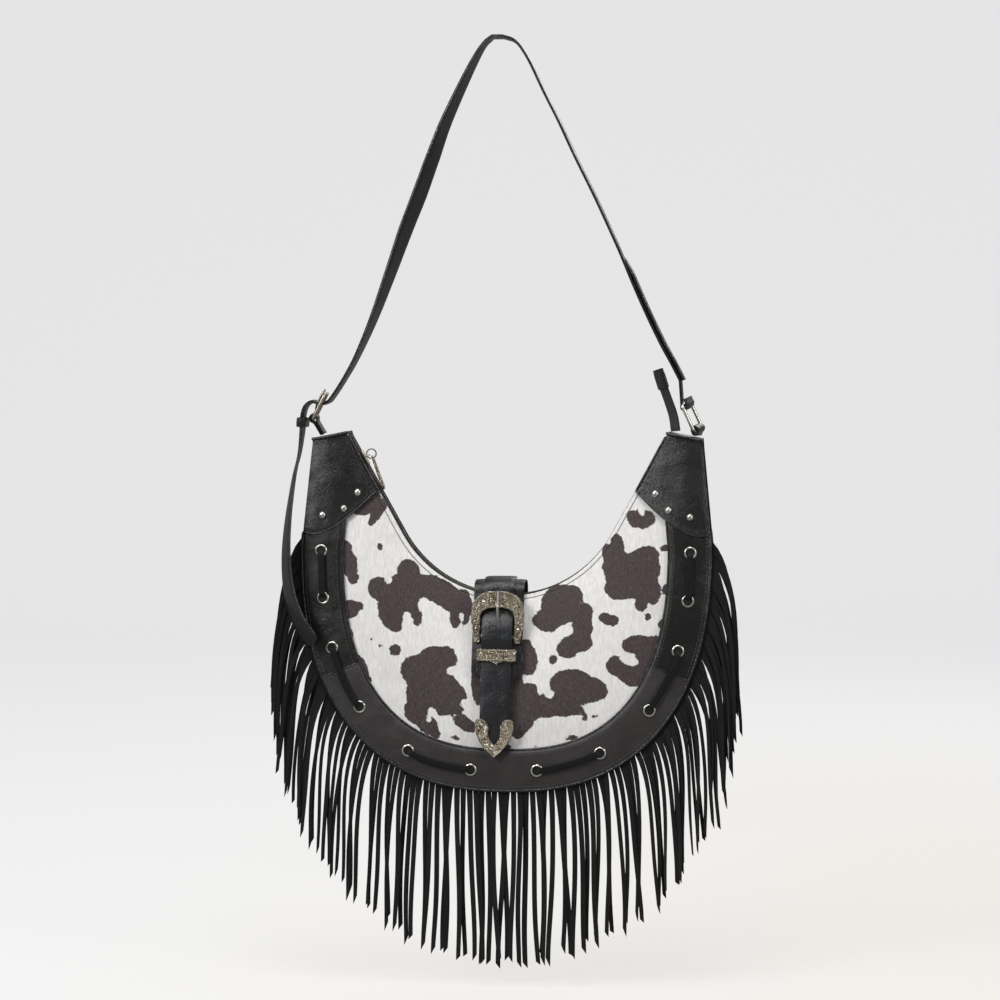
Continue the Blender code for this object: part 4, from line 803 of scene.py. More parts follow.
def band_top(inset):
    """The height of the band's upper face, rounded down at its turned edges."""
    edge = np.clip(np.minimum(inset, BAND_WIDTH - inset) / BAND_FOOT, 0, 1)
    return CHANNEL_HEIGHT + GAP + BAND_THICKNESS * (0.55 + 0.45 * np.sqrt(1 - (1 - edge) ** 2))


def band_reach(inset):
    """The share where a line inside the rim runs up to a horn cap's lower edge."""
    v = np.linspace(0, 1, 60)
    edge = across_body(cap_low(v), v)
    shares = np.linspace(0.7, 0.88, 181)
    line = from_rim(shares, np.full(len(shares), inset))
    clear = line[:, 1] < np.interp(line[:, 0], edge[:, 0], edge[:, 1]) - BAND_END_GAP
    return shares[clear].max()


def band_section(name, hand, columns, hide, node):
    """A side's length of the laced band, up to its cap, or with hand 0 the length between the seams."""
    rows = 24
    insets = BAND_EDGE_INSET + (BAND_WIDTH - BAND_EDGE_INSET) * np.linspace(0, 1, rows + 1)
    start = BAND_SEAM + BAND_END_GAP / OUTER_LENGTH if hand else -BAND_SEAM
    ends = np.array([band_reach(inset) if hand else BAND_SEAM for inset in insets])

    def place(u, v):
        row = np.round(v * rows).astype(int)
        return from_rim((hand or 1) * (start + (ends[row] - start) * u), insets[row])

    def top(u, v):
        return band_top(insets[np.round(v * rows).astype(int)])

    def low(u, v):
        inner = insets[np.round(v * rows).astype(int)] > BAND_WIDTH - BAND_FOOT
        return np.where(inner, GAP, CHANNEL_HEIGHT + GAP)
    mesh = body_slab(columns, rows, place, top, low)
    return piece(name, mesh, hide, "bag", [node], sharp=60)


def body_frame(place, height, side=FRONT):
    """A frame on the body at X and Z: Z out of the bag, Y up."""
    places = np.array([place])
    normal = Vector(body_normals(places, side)[0])
    frame = normal.to_track_quat("Z", "Y").to_matrix().to_4x4()
    frame.translation = Vector(on_body(places, height, side)[0])
    return frame


def spun(profile, sides, frame):
    """A ring or dome turned from a profile of radius and height, in mm."""
    made = bmesh.new()
    verts = [made.verts.new((radius * MM, 0, height * MM)) for radius, height in profile]
    for first, second in zip(verts, verts[1:]):
        made.edges.new((first, second))
    if profile[0][0] > 0:
        made.edges.new((verts[-1], verts[0]))
    bmesh.ops.spin(made, geom=made.verts[:] + made.edges[:], axis=(0, 0, 1), cent=(0, 0, 0),
                   angle=2 * math.pi, steps=sides, use_merge=True)
    bmesh.ops.remove_doubles(made, verts=made.verts, dist=0.01 * MM)
    bmesh.ops.transform(made, matrix=frame, verts=made.verts)
    return made


# Turned profiles as radius and height in mm
EYELET_PROFILE = ((3.3, -0.9), (3.5, -0.9), (3.6, 0.1), (4.6, 0.15), (4.6, 0.45), (4.3, 0.8), (3.9, 0.9),
                  (3.5, 0.75), (3.3, 0.3))
# a thin disc that fills each eyelet's hole with painted shadow
HOLE_PROFILE = ((0, 0.05), (3.5, 0.05), (3.5, 0.12), (0, 0.12))
RIVET_PROFILE = ((0, 0), (2.4, 0), (2.45, 0.3), (2.2, 0.55), (2.0, 0.55), (1.7, 0.85), (1.1, 1.15), (0, 1.3))


def eyelets(metal, shadow):
    """Rolled eyelets, each with a near-black disc of painted shadow in the hole behind it."""
    for hand, word in ((-1, "left"), (1, "right")):
        for index, share in enumerate(reversed(EYELET_SHARES)):
            place = from_rim(hand * share, EYELET_INSET)
            frame = body_frame(place, BAND_TOP)
            node = f"eyelet_{word}_{index + 1}"
            ring = spun(EYELET_PROFILE, 28, frame)
            piece(f"dress_{node}", ring, metal, "bag", [node])
            # painted shadow: a near-black disc where the hole's depth falls into shade
            piece(f"hole_{word}_{index + 1}", spun(HOLE_PROFILE, 20, frame), shadow, "bag")


def rivets(metal):
    """Domed rivets with a thin rim on the horn caps."""
    for hand, word in ((-1, "left"), (1, "right")):
        for index, spot in enumerate(RIVET_PLACES):
            place = np.array((hand * spot[0], spot[1])) * MM
            from_inner = distances(INNER, place[:1], place[1:])[0]
            share = from_inner / (from_inner + distances(OUTER, place[:1], place[1:])[0])
            frame = body_frame(place, cap_thickness(share) + 2 * GAP)
            node = f"rivet_{word}_{index + 1}"
            piece(f"dress_{node}", spun(RIVET_PROFILE, 24, frame), metal, "bag", [node])


def smooth_route(points, per_span):
    """A smooth curve through the points of a route."""
    points = [Vector(p) for p in points]
    ends = [points[0] * 2 - points[1]] + points + [points[-1] * 2 - points[-2]]
    route = []
    for a, b, c, d in zip(ends, ends[1:], ends[2:], ends[3:]):
        for step in range(per_span):
            t = step / per_span
            route.append(0.5 * (2 * b + (c - a) * t + (2 * a - 5 * b + 4 * c - d) * t * t
                                + (3 * b - a - 3 * c + d) * t * t * t))
    route.append(points[-1])
    return route


def route_stations(points, half_widths, twists, across=Vector((0, 1, 0))):
    """Stations along a route: middle, half width vector and face normal."""
    stations = []
    for index, point in enumerate(points):
        before = points[max(index - 1, 0)]
        after = points[min(index + 1, len(points) - 1)]
        run = (after - before).normalized()
        level_way = (across - run * across.dot(run)).normalized()
        level_way.rotate(Matrix.Rotation(twists[index], 3, run))
        stations.append((point, level_way * half_widths[index], run.cross(level_way)))
    return stations


def ribbon(stations, thickness, rows=6, crown=0.35):
    """A leather strip swept along stations, its edges rounded down by a share of its thickness."""
    middles = np.array([middle for middle, half, normal in stations])
    halves = np.array([half for middle, half, normal in stations])
    normals = np.array([normal for middle, half, normal in stations])
    last = len(stations) - 1

    def at(side):
        def rule(u, v):
            index = np.round(u * last).astype(int)
            edge = np.abs(2 * v - 1)
            lift = side * thickness / 2 * (1 - crown * edge ** 6)
            return middles[index] + halves[index] * (2 * v - 1)[:, None] + normals[index] * lift[:, None]
        return rule
    return slab(last, rows, at(1), at(-1))


def lace(hide):
    """The suede lace: in long stitches over the band between the eyelets of a pair."""
    over = BAND_TOP + 2 * GAP + 0.8 * MM + LACE_THICKNESS / 2
    under = BAND_TOP - 1.2 * MM
    shares = [-s for s in reversed(EYELET_SHARES)] + list(EYELET_SHARES)
    for number in range(0, len(shares), 2):
        first, second = shares[number], shares[number + 1]
        stations = []
        steps = 40
        for step in range(steps + 1):
            t = step / steps
            share = first + (second - first) * t
            rise = min(1, (min(t, 1 - t) * abs(second - first) * OUTER_LENGTH + 1 * MM) / (4.5 * MM))
            rise = rise * rise * (3 - 2 * rise)
            sway = 0.5 * MM * math.sin(3.1 * t + number)
            place = from_rim(share, EYELET_INSET + sway)
            point = Vector(on_body(place, under + (over - under) * rise)[0])
            normal = Vector(body_normals(np.array([place]), FRONT)[0])
            ahead = from_rim(share + 0.01, EYELET_INSET) - from_rim(share - 0.01, EYELET_INSET)
            run = Vector((ahead[0], 0, ahead[1])).normalized()
            narrow = 0.7 + 0.3 * rise
            half = normal.cross(run).normalized() * LACE_WIDTH / 2 * narrow
            stations.append((point, half, normal))
        mesh = ribbon(stations, LACE_THICKNESS, 4, 0.6)
        nodes = ["lace"] if number == 0 else []
        piece(f"lace_run_{number // 2 + 1}", mesh, hide, "bag", nodes, sharp=60)


def strand(hand, share, layer, chance):
    """One strand: out from its seam at a slant, then down with its own curl, lean and depth."""
    rim = along(OUTER, share)
    start = on_body(rim, GAP + STRAND_THICKNESS / 2)[0] - np.array(BODY_PLACE)
    side = max(-inward(OUTER, share)[0], 0)
    first = STRAND_SLANT * side ** 1.3 + math.radians(chance.uniform(-6, 6))
    lean = math.radians(2.6 * side + chance.uniform(-2, 2))
    settle = chance.uniform(17, 27) * MM
    length = STRAND_LENGTH * (0.995 - 0.16 * side ** 0.8) * chance.uniform(0.95, 1.01)
    width = STRAND_WIDTH * chance.uniform(0.88, 1.04)
    phase = chance.uniform(0, 6.28)
    turn = chance.uniform(-0.5, 0.5) + side * chance.uniform(0.1, 0.9)
    depth = (layer * 1.7 + chance.uniform(-0.8, 0.8)) * MM
    x, z = rim
    stations = []
    for step in range(STRAND_STEPS + 1):
        t = step / STRAND_STEPS
        angle = first * math.exp(-length * t / settle) + lean + STRAND_WAVE * t * math.sin(phase + 5 * t)
        if step:
            x += math.sin(angle) * length / STRAND_STEPS
            z -= math.cos(angle) * length / STRAND_STEPS
        y = start[1] - depth * math.sin(math.pi / 2 * min(1, 3 * t)) + 0.8 * MM * math.sin(phase + 4 * t) * t
        twist = turn * t
        across = Vector((hand * math.cos(angle), 0, math.sin(angle)))
        face = Vector((0, -1, 0))
        slim = 1 + 0.16 * max(0, 1 - 5 * t) - 0.35 * side * min(1, 3 * t) - 0.25 * max(0, t - 0.75)
        half = (across * math.cos(twist) + face * math.sin(twist)) * width / 2 * slim
        normal = face * math.cos(twist) - across * math.sin(twist)
        stations.append((BODY_PLACE + Vector((hand * x, y, z)), half, normal))
    return stations


def fringe(hide):
    """The suede fringe: strands side by side under the band's rim as one piece, and their header as another.
    """
    chance = random.Random(FRINGE_SEED)
    mesh = bmesh.new()
    count = int(FRINGE_END_SHARE * OUTER_LENGTH / FRINGE_PITCH)
    for index in range(count):
        for hand in (-1, 1):
            share = (index + 0.5) * FRINGE_PITCH / OUTER_LENGTH
            stations = strand(hand, share, index * 2 % 3 - 1, chance)
            slant = chance.uniform(0.5, 1.6)
            made = ribbon(stations, STRAND_THICKNESS, 2, 0.5)
            tip = stations[-1][0]
            half = stations[-1][1]
            for vert in made.verts:
                if (vert.co - tip).length < STRAND_WIDTH * 0.7:
                    lean = (vert.co - tip).dot(half) / half.length_squared
                    vert.co.z -= (lean + 1) * 2.2 * MM * slant
            part = bpy.data.meshes.new("strand")
            made.to_mesh(part)
            made.free()
            mesh.from_mesh(part)
            bpy.data.meshes.remove(part)
    piece("dress_fringe", mesh, hide, "bag", ["fringe"], sharp=50)
    header = body_slab(120, 2, lambda u, v: from_rim((2 * u - 1) * FRINGE_END_SHARE,
                                                    BAND_EDGE_INSET + HEADER_DEPTH * v),
                       level(GAP + STRAND_THICKNESS), level(GAP))
    piece("fringe_header", header, hide, "bag")


def zip_point(share, rise, depth):
    """A point at a share of the zip line, raised out of the bag and set back to a depth, in world metres."""
    place = along(INNER, share)
    out = inward(INNER, share)
    rise = np.asarray(rise, dtype=float)
    place = place + out * (rise[..., None] if rise.ndim else rise)
    depth = np.broadcast_to(np.asarray(depth, dtype=float), place[..., 0].shape)
    return np.stack((place[..., 0], depth, place[..., 1]), axis=-1) + np.array(BODY_PLACE)


def zip_tapes(tape):
    """The two sides of the zip's tape."""
    for side, word in ((FRONT, "front"), (BACK, "back")):
        def at(sink, side=side):
            def rule(u, v):
                share = 2 * u - 1
                place = along(INNER, share)
                edge = half_depths(place[:, 0], place[:, 1]) - 1.5 * PANEL_THICKNESS
                start = TEETH_HALF_SLOT + TEETH_WIDTH + GAP
                return zip_point(share, -sink * np.ones(len(u)), side * (start + (edge - start) * v))
            return rule
        mesh = slab(120, 4, at(TAPE_SINK), at(TAPE_SINK + TAPE_THICKNESS))
        piece(f"dress_zip_tape_{word}", mesh, tape, "bag", [f"zip_tape_{word}"])


def zip_teeth(metal):
    """The zip's teeth, one small block each, the two rows half a pitch apart."""
    length = 2 * INNER[1][-1]
    count = int(length / TOOTH_PITCH)
    for side, word in ((FRONT, "front"), (BACK, "back")):
        mesh = bmesh.new()
        for index in range(count):
            share = (2 * index + 1 + 0.5 * side) / count - 1
            out = inward(INNER, share)
            up = Vector((out[0], 0, out[1]))
            run = Vector((out[1], 0, -out[0]))
            middle = Vector(zip_point(share, (TEETH_ABOVE - TEETH_BELOW) / 2,
                                      side * (TEETH_HALF_SLOT + TEETH_WIDTH / 2)))
            frame = Matrix((run, Vector((0, 1, 0)), up)).transposed().to_4x4()
            frame.translation = middle
            size = Matrix.Diagonal((TOOTH_PITCH * 0.55, TEETH_WIDTH, TEETH_ABOVE + TEETH_BELOW, 1))
            made = bmesh.ops.create_cube(mesh, size=1.0, matrix=frame @ size)
            edges = {edge for vert in made["verts"] for edge in vert.link_edges}
            bmesh.ops.bevel(mesh, geom=list(edges), offset=0.2 * MM, offset_type="OFFSET", segments=1,
                            profile=0.5, affect="EDGES", material=-1)
        piece(f"dress_zip_teeth_{word}", mesh, metal, "bag", [f"zip_teeth_{word}"], sharp=30)


def frame_of(origin, x_axis, y_axis):
    """A matrix from an origin and two axes."""
    made = Matrix((x_axis, y_axis, x_axis.cross(y_axis))).transposed().to_4x4()
    made.translation = origin
    return made


def plate(outline, depth, frame, bevel=0.0, segments=2, both=True):
    """A plate from an outline in the frame's XY plane, thickened along its Z, with rounded rims."""
    mesh = bmesh.new()
    face = mesh.faces.new([mesh.verts.new((x, y, 0)) for x, y in outline])
    made = bmesh.ops.extrude_face_region(mesh, geom=[face])["geom"]
    lifted = [item for item in made if isinstance(item, bmesh.types.BMVert)]
    bmesh.ops.translate(mesh, verts=lifted, vec=(0, 0, depth))
    if bevel:
        top = {edge for vert in lifted for edge in vert.link_edges if edge.other_vert(vert) in lifted}
        rest = {edge for edge in mesh.edges if all(vert not in lifted for vert in edge.verts)}
        chosen = top | rest if both else top
        bmesh.ops.bevel(mesh, geom=list(chosen), offset=bevel, offset_type="OFFSET", segments=segments,
                        profile=0.5, affect="EDGES", material=-1)
    bmesh.ops.transform(mesh, matrix=frame, verts=mesh.verts)
    return mesh


def tube(points, radius, cyclic=False, resolution=3, radii=None):
    """A round wire through points, as a bmesh with closed ends."""
    data = bpy.data.curves.new("wire_guide", "CURVE")
    data.dimensions = "3D"
    data.bevel_depth = radius
    data.bevel_resolution = resolution
    data.use_fill_caps = True
    line = data.splines.new("POLY")
    line.points.add(len(points) - 1)
    for index, (spot, point) in enumerate(zip(line.points, points)):
        spot.co = (*point, 1)
        spot.radius = radii[index] if radii else 1
    line.use_cyclic_u = cyclic
    guide = bpy.data.objects.new("wire_guide", data)
    mesh = bmesh.new()
    mesh.from_mesh(guide.to_mesh())
    guide.to_mesh_clear()
    bpy.data.objects.remove(guide)
    bpy.data.curves.remove(data)
    bmesh.ops.remove_doubles(mesh, verts=mesh.verts, dist=0.005 * MM)
    return mesh


def add_mesh(mesh, other):
    """Adds another bmesh's shapes to this one."""
    data = bpy.data.meshes.new("guide")
    other.to_mesh(data)
    other.free()
    mesh.from_mesh(data)
    bpy.data.meshes.remove(data)
    return mesh


def arc_points(centre, radius, start, end, count, x_axis, y_axis):
    """Points on an arc in the plane of two axes."""
    points = []
    for step in range(count):
        angle = start + (end - start) * step / (count - 1)
        points.append(centre + x_axis * (radius * math.cos(angle)) + y_axis * (radius * math.sin(angle)))
    return points


def flank_frame():
    """The zip line at the slider: place in the world, direction down the flank and out of the bag."""
    start = along(INNER, -INNER_RADIUS * FLANK_ANGLE / INNER[1][-1])
    down = Vector((math.cos(FLANK_ANGLE), 0, -math.sin(FLANK_ANGLE)))
    out = Vector((math.sin(FLANK_ANGLE), 0, math.cos(FLANK_ANGLE)))
    return BODY_PLACE + Vector((start[0], 0, start[1])) - down * SLIDER_PLACE, down, out


def zip_slider(metal):
    """The slider: waisted plates over and under the teeth, a post between the rows and a bridge."""
    place, down, out = flank_frame()
    side = Vector((0, 1, 0))
    top = TEETH_ABOVE + GAP
    low = -TEETH_BELOW - GAP
    half = SLIDER_HALF_WIDTH
    waist = half * 0.72
    long = SLIDER_LENGTH / 2
    outline = ((-long, -waist), (-long * 0.7, -waist), (long * 0.4, -half), (long * 0.85, -half * 0.9),
               (long, -half * 0.5), (long, half * 0.5), (long * 0.85, half * 0.9), (long * 0.4, half),
               (-long * 0.7, waist), (-long, waist))
    mesh = plate(outline, SLIDER_PLATE, frame_of(place + out * top, -down, -side), 0.35 * MM)
    add_mesh(mesh, plate(outline, SLIDER_PLATE, frame_of(place + out * (low - SLIDER_PLATE), -down, -side),
                         0.35 * MM))
    post = ((-0.3 * MM, -long), (0.3 * MM, -long), (0.3 * MM, long), (-0.3 * MM, long))
    add_mesh(mesh, plate(post, top - low + SLIDER_PLATE,
                         frame_of(place + out * (low - SLIDER_PLATE / 2), side, -down)))
    foot = top + SLIDER_PLATE * 0.5
    arch = [place + out * foot - side * 2.2 * MM, place + out * (foot + BRIDGE_RISE * 0.7) - side * 2.1 * MM,
            place + out * (foot + BRIDGE_RISE) - side * 1.2 * MM,
            place + out * (foot + BRIDGE_RISE) + side * 1.2 * MM,
            place + out * (foot + BRIDGE_RISE * 0.7) + side * 2.1 * MM, place + out * foot + side * 2.2 * MM]
    add_mesh(mesh, tube(arch, BRIDGE_WIRE))
    piece("dress_zip_slider", mesh, metal, "slider", ["zip_slider"])


def zip_pull(metal, etched):
    """The pull: a ring on the slider's bridge and a long tab on the ring."""
    place, down, out = flank_frame()
    bridge = place + out * (TEETH_ABOVE + GAP + SLIDER_PLATE / 2 + BRIDGE_RISE)
    hang = BRIDGE_WIRE + PULL_RING_WIRE + 2 * GAP
    centre = bridge + out * (PULL_RING_RADIUS - hang)
    loop = arc_points(centre, PULL_RING_RADIUS, 0, 2 * math.pi, 41, Vector((1, 0, 0)), Vector((0, 0, 1)))[:-1]
    piece("dress_zip_pull_ring", tube(loop, PULL_RING_WIRE, True), metal, "pull_ring", ["zip_pull_ring"])
    fall = down * math.cos(PULL_TAB_DIP) - out * math.sin(PULL_TAB_DIP)
    thick = PULL_TAB_THICKNESS
    width = PULL_TAB_WIDTH / 2
    bore = PULL_RING_RADIUS - PULL_RING_WIRE - GAP
    rim = PULL_RING_RADIUS + PULL_RING_WIRE + GAP
    tip = rim + PULL_TAB_LENGTH
    start = bore - 1.2 * MM
    side = Vector((0, 1, 0))
    left = ((start, -1.6 * MM), (rim + 1.2 * MM, -width * 0.55), (rim + 4 * MM, -width * 0.72),
            (tip - 7 * MM, -width), (tip - 2.5 * MM, -width), (tip - 0.8 * MM, -width * 0.72),
            (tip, -width * 0.3))
    outline = list(left) + [(x, -y) for x, y in reversed(left)]
    frame = frame_of(centre - fall.cross(side) * thick / 2, fall, side)
    mesh = plate(outline, thick, frame, 0.35 * MM)
    piece("dress_zip_pull_tab", mesh, etched, "pull_tab", ["zip_pull_tab"])


STRAP_LEFT = ((-4, 1.5), (-11.3, -5.6), (-21.9, -24.6), (-38.6, -60), (-48.8, -86.9), (-59.3, -115.5),
              (-69.8, -142), (-80.6, -172), (-93.8, -207.4), (-106.5, -236), (-116.3, -253.5))
STRAP_RIGHT = ((4, 1.5), (14, -2.5), (23.5, -16), (34.5, -39), (46.1, -62), (57.5, -86.5), (72.8, -117.5),
               (84.3, -142.3), (92, -159.5), (101.6, -182.5), (111, -203.6), (121.8, -226),
               (130, -241), (136.5, -253.5))
STRAP_TAIL = ((-124.1, 0, -265.4), (-128.1, 0, -270), (-133.9, 0, -271.6), (-139.7, 0, -269.8),
              (-144.8, 0, -272.8), (-147.4, 0, -279.5), (-148.2, 0, -290), (-149.8, -4, -308),
              (-153, -12, -328), (-155.2, -27, -362), (-155.2, -33, -390), (-152, -34, -415),
              (-145, -34.5, -434), (-134, -35, -451))
TAIL_TWISTS = (0, 0, 0, 0, 0, 0, 0, 6, 14, 22, 28, 34, 40, 46)
STRAP_SPAN_STEPS = 5
STRAP_FOLD_TOP = -160 * MM
STRAP_FOLD_END = -264 * MM
STRAP_FOLD_SLOPE = 16 * MM


def leaning(lean, twist):
    """The along and across directions of a strap fitting."""
    long_axis = Vector((-math.sin(lean), 0, math.cos(lean)))
    wide_axis = Vector((math.sin(twist), math.cos(twist), 0))
    wide_axis = (wide_axis - long_axis * wide_axis.dot(long_axis)).normalized()
    return long_axis, wide_axis


def bow(share):
    """A twist that comes and goes along the strap."""
    return STRAP_TWIST * math.sin(math.pi * min(max(share, 0), 1)) ** 2


def left_strap_stations():
    """Stations of the strap's left side, from the flat top down to the free tip of its tail."""
    main = [Vector((x, 0, z)) * MM for x, z in STRAP_LEFT]
    tail = [Vector(p) * MM for p in STRAP_TAIL]
    route = smooth_route(main + tail, STRAP_SPAN_STEPS)
    knots = [bow(i / (len(main) - 1)) for i in range(len(main))] + [math.radians(-t) for t in TAIL_TWISTS]
    twists = [float(np.interp(i / STRAP_SPAN_STEPS, range(len(knots)), knots)) for i in range(len(route))]
    count = len(route)
    halves = []
    for index in range(count):
        left_over = (route[-1] - route[index]).length
        rounding = min(1, left_over / (7 * MM))
        halves.append(STRAP_WIDTH / 2 * max(math.sqrt(1 - (1 - rounding) ** 2), 0.25))
    return route_stations(route, halves, twists)


def right_strap_stations():
    """Stations of the strap's right side, from the flat top down and round the ring."""
    main = [Vector((x, 0, z)) * MM for x, z in STRAP_RIGHT]
    long_axis, wide_axis = leaning(RING_LEAN, RING_TWIST)
    bar = RING_PLACE + long_axis * RING_HALF_LENGTH
    radius = WIRE_RADIUS + 2 * GAP + STRAP_THICKNESS * 0.4
    side = wide_axis.cross(long_axis).normalized()
    side = -side if side.x > 0 else side
    arc = arc_points(bar, radius, math.radians(20), math.radians(-200), 11, side, long_axis)
    route = smooth_route(main, STRAP_SPAN_STEPS) + arc
    route += smooth_route([arc[-1] + long_axis * 1 * MM, arc[-1] + long_axis * 3 * MM], 2)
    turned = [0.0] * len(route)
    stations = route_stations(route, [STRAP_WIDTH / 2] * len(route), turned)
    for index in range(len(route) - len(arc) - 3, len(route)):
        before = route[max(index - 1, 0)]
        after = route[min(index + 1, len(route) - 1)]
        run = (after - before).normalized()
        share = min(1, (index - (len(route) - len(arc) - 3)) / 3)
        way = Vector((0, 1, 0)).lerp(wide_axis, share)
        way = (way - run * way.dot(run)).normalized()
        stations[index] = (route[index], way * STRAP_WIDTH / 2, run.cross(way))
    return stations


def shoulder_strap(hide):
    """The whole strap in one piece; it rides on no body, and its place is baked into its mesh."""
    left = [(middle, half, -normal) for middle, half, normal in reversed(left_strap_stations())]
    right = right_strap_stations()
    up = Vector((0, 0, 1))
    way = Vector((0, STRAP_WIDTH / 2, 0))
    left[-1] = (left[-1][0], way, up if right[0][2].z > 0 else -up)
    right[0] = (right[0][0], way, up if right[0][2].z > 0 else -up)
    mesh = ribbon(left + right, STRAP_THICKNESS * 0.85, 10, 0.4)
    folded = []
    for middle, half, normal in right:
        if STRAP_FOLD_END < middle.z < STRAP_FOLD_TOP:
            rise = min(1, (STRAP_FOLD_TOP - middle.z) / STRAP_FOLD_SLOPE + 0.1)
            outward = normal if normal.x > 0 else -normal
            place = middle + outward * STRAP_THICKNESS * 0.88 * rise
            folded.append((place, half * (0.5 + 0.46 * rise), normal))
    add_mesh(mesh, ribbon(folded, STRAP_THICKNESS * 0.8, 10, 0.4))
    made = piece("dress_shoulder_strap", mesh, hide, None,
                 ["shoulder_strap", "strap_end_left", "strap_end_right"], sharp=60)
    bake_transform(made)
    return made


def rounded_loop(centre, long_axis, wide_axis, half_long, half_wide, corner, steps=6):
    """Points of a rounded rectangle."""
    points = []
    for quarter in range(4):
        sign_long = (1, 1, -1, -1)[quarter]
        sign_wide = (1, -1, -1, 1)[quarter]
        middle = centre + long_axis * sign_long * (half_long - corner)
        middle = middle + wide_axis * sign_wide * (half_wide - corner)
        start = math.pi / 2 - quarter * math.pi / 2
        for step in range(steps):
            angle = start - math.pi / 2 * step / (steps - 1)
            points.append(middle + long_axis * corner * math.cos(angle)
                          + wide_axis * corner * math.sin(angle))
    return points


def looped_tab(name, bar, foot, wide_axis, hide, node):
    """A leather tab: two layers from its foot, looped round a bar."""
    rise = (bar - foot).normalized()
    side = wide_axis.cross(rise).normalized()
    radius = WIRE_RADIUS + 2 * GAP + TAB_THICKNESS / 2
    layer = TAB_THICKNESS / 2 + GAP
    spread = math.radians(50)
    arc = arc_points(bar, radius, -math.pi / 2 + spread, 3 * math.pi / 2 - spread, 17, side, rise)
    neck = bar - rise * radius * 1.5
    ends = [foot + side * layer, neck + side * layer], [neck - side * layer, foot - side * layer]
    points = smooth_route(ends[0] + [arc[0]], 3)[:-1] + arc + smooth_route([arc[-1]] + ends[1], 3)[1:]
    stations = route_stations(points, [TAB_WIDTH / 2] * len(points), [0] * len(points), wide_axis)
    piece(name, ribbon(stations, TAB_THICKNESS, 8, 0.45), hide, "bag", [node], sharp=60)


def strap_fittings(metal, pale, hide):
    """The ring, the pin buckle and the leather tabs that hold them to the horns."""
    ring_long, ring_wide = leaning(RING_LEAN, RING_TWIST)
    loop = rounded_loop(RING_PLACE, ring_long, ring_wide, RING_HALF_LENGTH, BUCKLE_HALF_WIDTH, FRAME_CORNER)
    piece("dress_strap_ring", tube(loop, WIRE_RADIUS, True), pale, "bag", ["strap_ring"])
    up = cap_top_direction(1)
    up = Vector((up[0], 0, up[1])) * (CAP_TOP_THICKNESS + 2 * GAP + 1.3 * MM)
    foot = across_body(1, 0.82)
    looped_tab("dress_tab_right", RING_PLACE - ring_long * RING_HALF_LENGTH,
               BODY_PLACE + Vector((foot[0], 0, foot[1])) + up, ring_wide, hide, "tab_right")
    frame_long, frame_wide = leaning(FRAME_LEAN, FRAME_TWIST)
    loop = rounded_loop(FRAME_PLACE, frame_long, frame_wide, FRAME_HALF_LENGTH, BUCKLE_HALF_WIDTH,
                        FRAME_CORNER)
    piece("dress_strap_buckle_frame", tube(loop, WIRE_RADIUS, True), metal, "bag", ["strap_buckle_frame"])
    up = cap_top_direction(-1)
    up = Vector((up[0], 0, up[1])) * (CAP_TOP_THICKNESS + 2 * GAP + 1.3 * MM)
    foot = across_body(-1, 0.75)
    looped_tab("dress_tab_left", FRAME_PLACE - frame_long * FRAME_HALF_LENGTH,
               BODY_PLACE + Vector((foot[0], 0, foot[1])) + up, frame_wide, hide, "tab_left")
    side = frame_wide.cross(frame_long).normalized()
    side = -side if side.x > 0 else side
    rest = (WIRE_RADIUS + GAP + PRONG_RADIUS) / MM
    knots = ((-4.5, 1.2), (0, 2.6), (8, rest + 0.2), (13, rest - 0.4))
    prong = smooth_route([FRAME_PLACE + frame_long * a * MM + side * b * MM for a, b in knots], 4)
    piece("dress_strap_buckle_prong", tube(prong, PRONG_RADIUS), metal, "bag", ["strap_buckle_prong"])


STRAP_KEEPER_PLACE = Vector((-147.9, 0, -285.5)) * MM
STRAP_KEEPER_LEAN = math.radians(4.4)
STRAP_KEEPER_WALL = 1.3 * MM
STRAP_KEEPER_HALF_HEIGHT = 3.5 * MM


def strap_keeper(hide):
    """A leather loop round the strap's tail."""
    half_x = STRAP_THICKNESS * 0.4 + 3 * GAP + STRAP_KEEPER_WALL / 2
    half_y = STRAP_WIDTH / 2 + GAP + STRAP_KEEPER_WALL / 2
    down = Vector((-math.sin(STRAP_KEEPER_LEAN), 0, -math.cos(STRAP_KEEPER_LEAN)))
    right = Vector((-down.z, 0, down.x))
    loop = rounded_loop(STRAP_KEEPER_PLACE, right, Vector((0, 1, 0)), half_x, half_y, 0.9 * MM, 5)
    loop.append(loop[0])
    stations = []
    for index, point in enumerate(loop):
        before = loop[index - 1] if index else loop[-2]
        after = loop[index + 1] if index + 1 < len(loop) else loop[1]
        run = (after - before).normalized()
        stations.append((point, down * STRAP_KEEPER_HALF_HEIGHT, run.cross(down)))
    mesh = ribbon(stations, STRAP_KEEPER_WALL, 4, 0.4)
    bmesh.ops.remove_doubles(mesh, verts=mesh.verts, dist=0.02 * MM)
    piece("dress_strap_keeper", mesh, hide, "bag", ["strap_keeper"], sharp=50)


ZIP_TAIL = ((133, 0, -291.5), (131.2, 0, -280), (127, 0, -267.5), (123.7, 0, -258.6),
            (123.3, 0, -257.4), (119.5, 0, -245.5))
ZIP_TAIL_TWIST = math.radians(30)


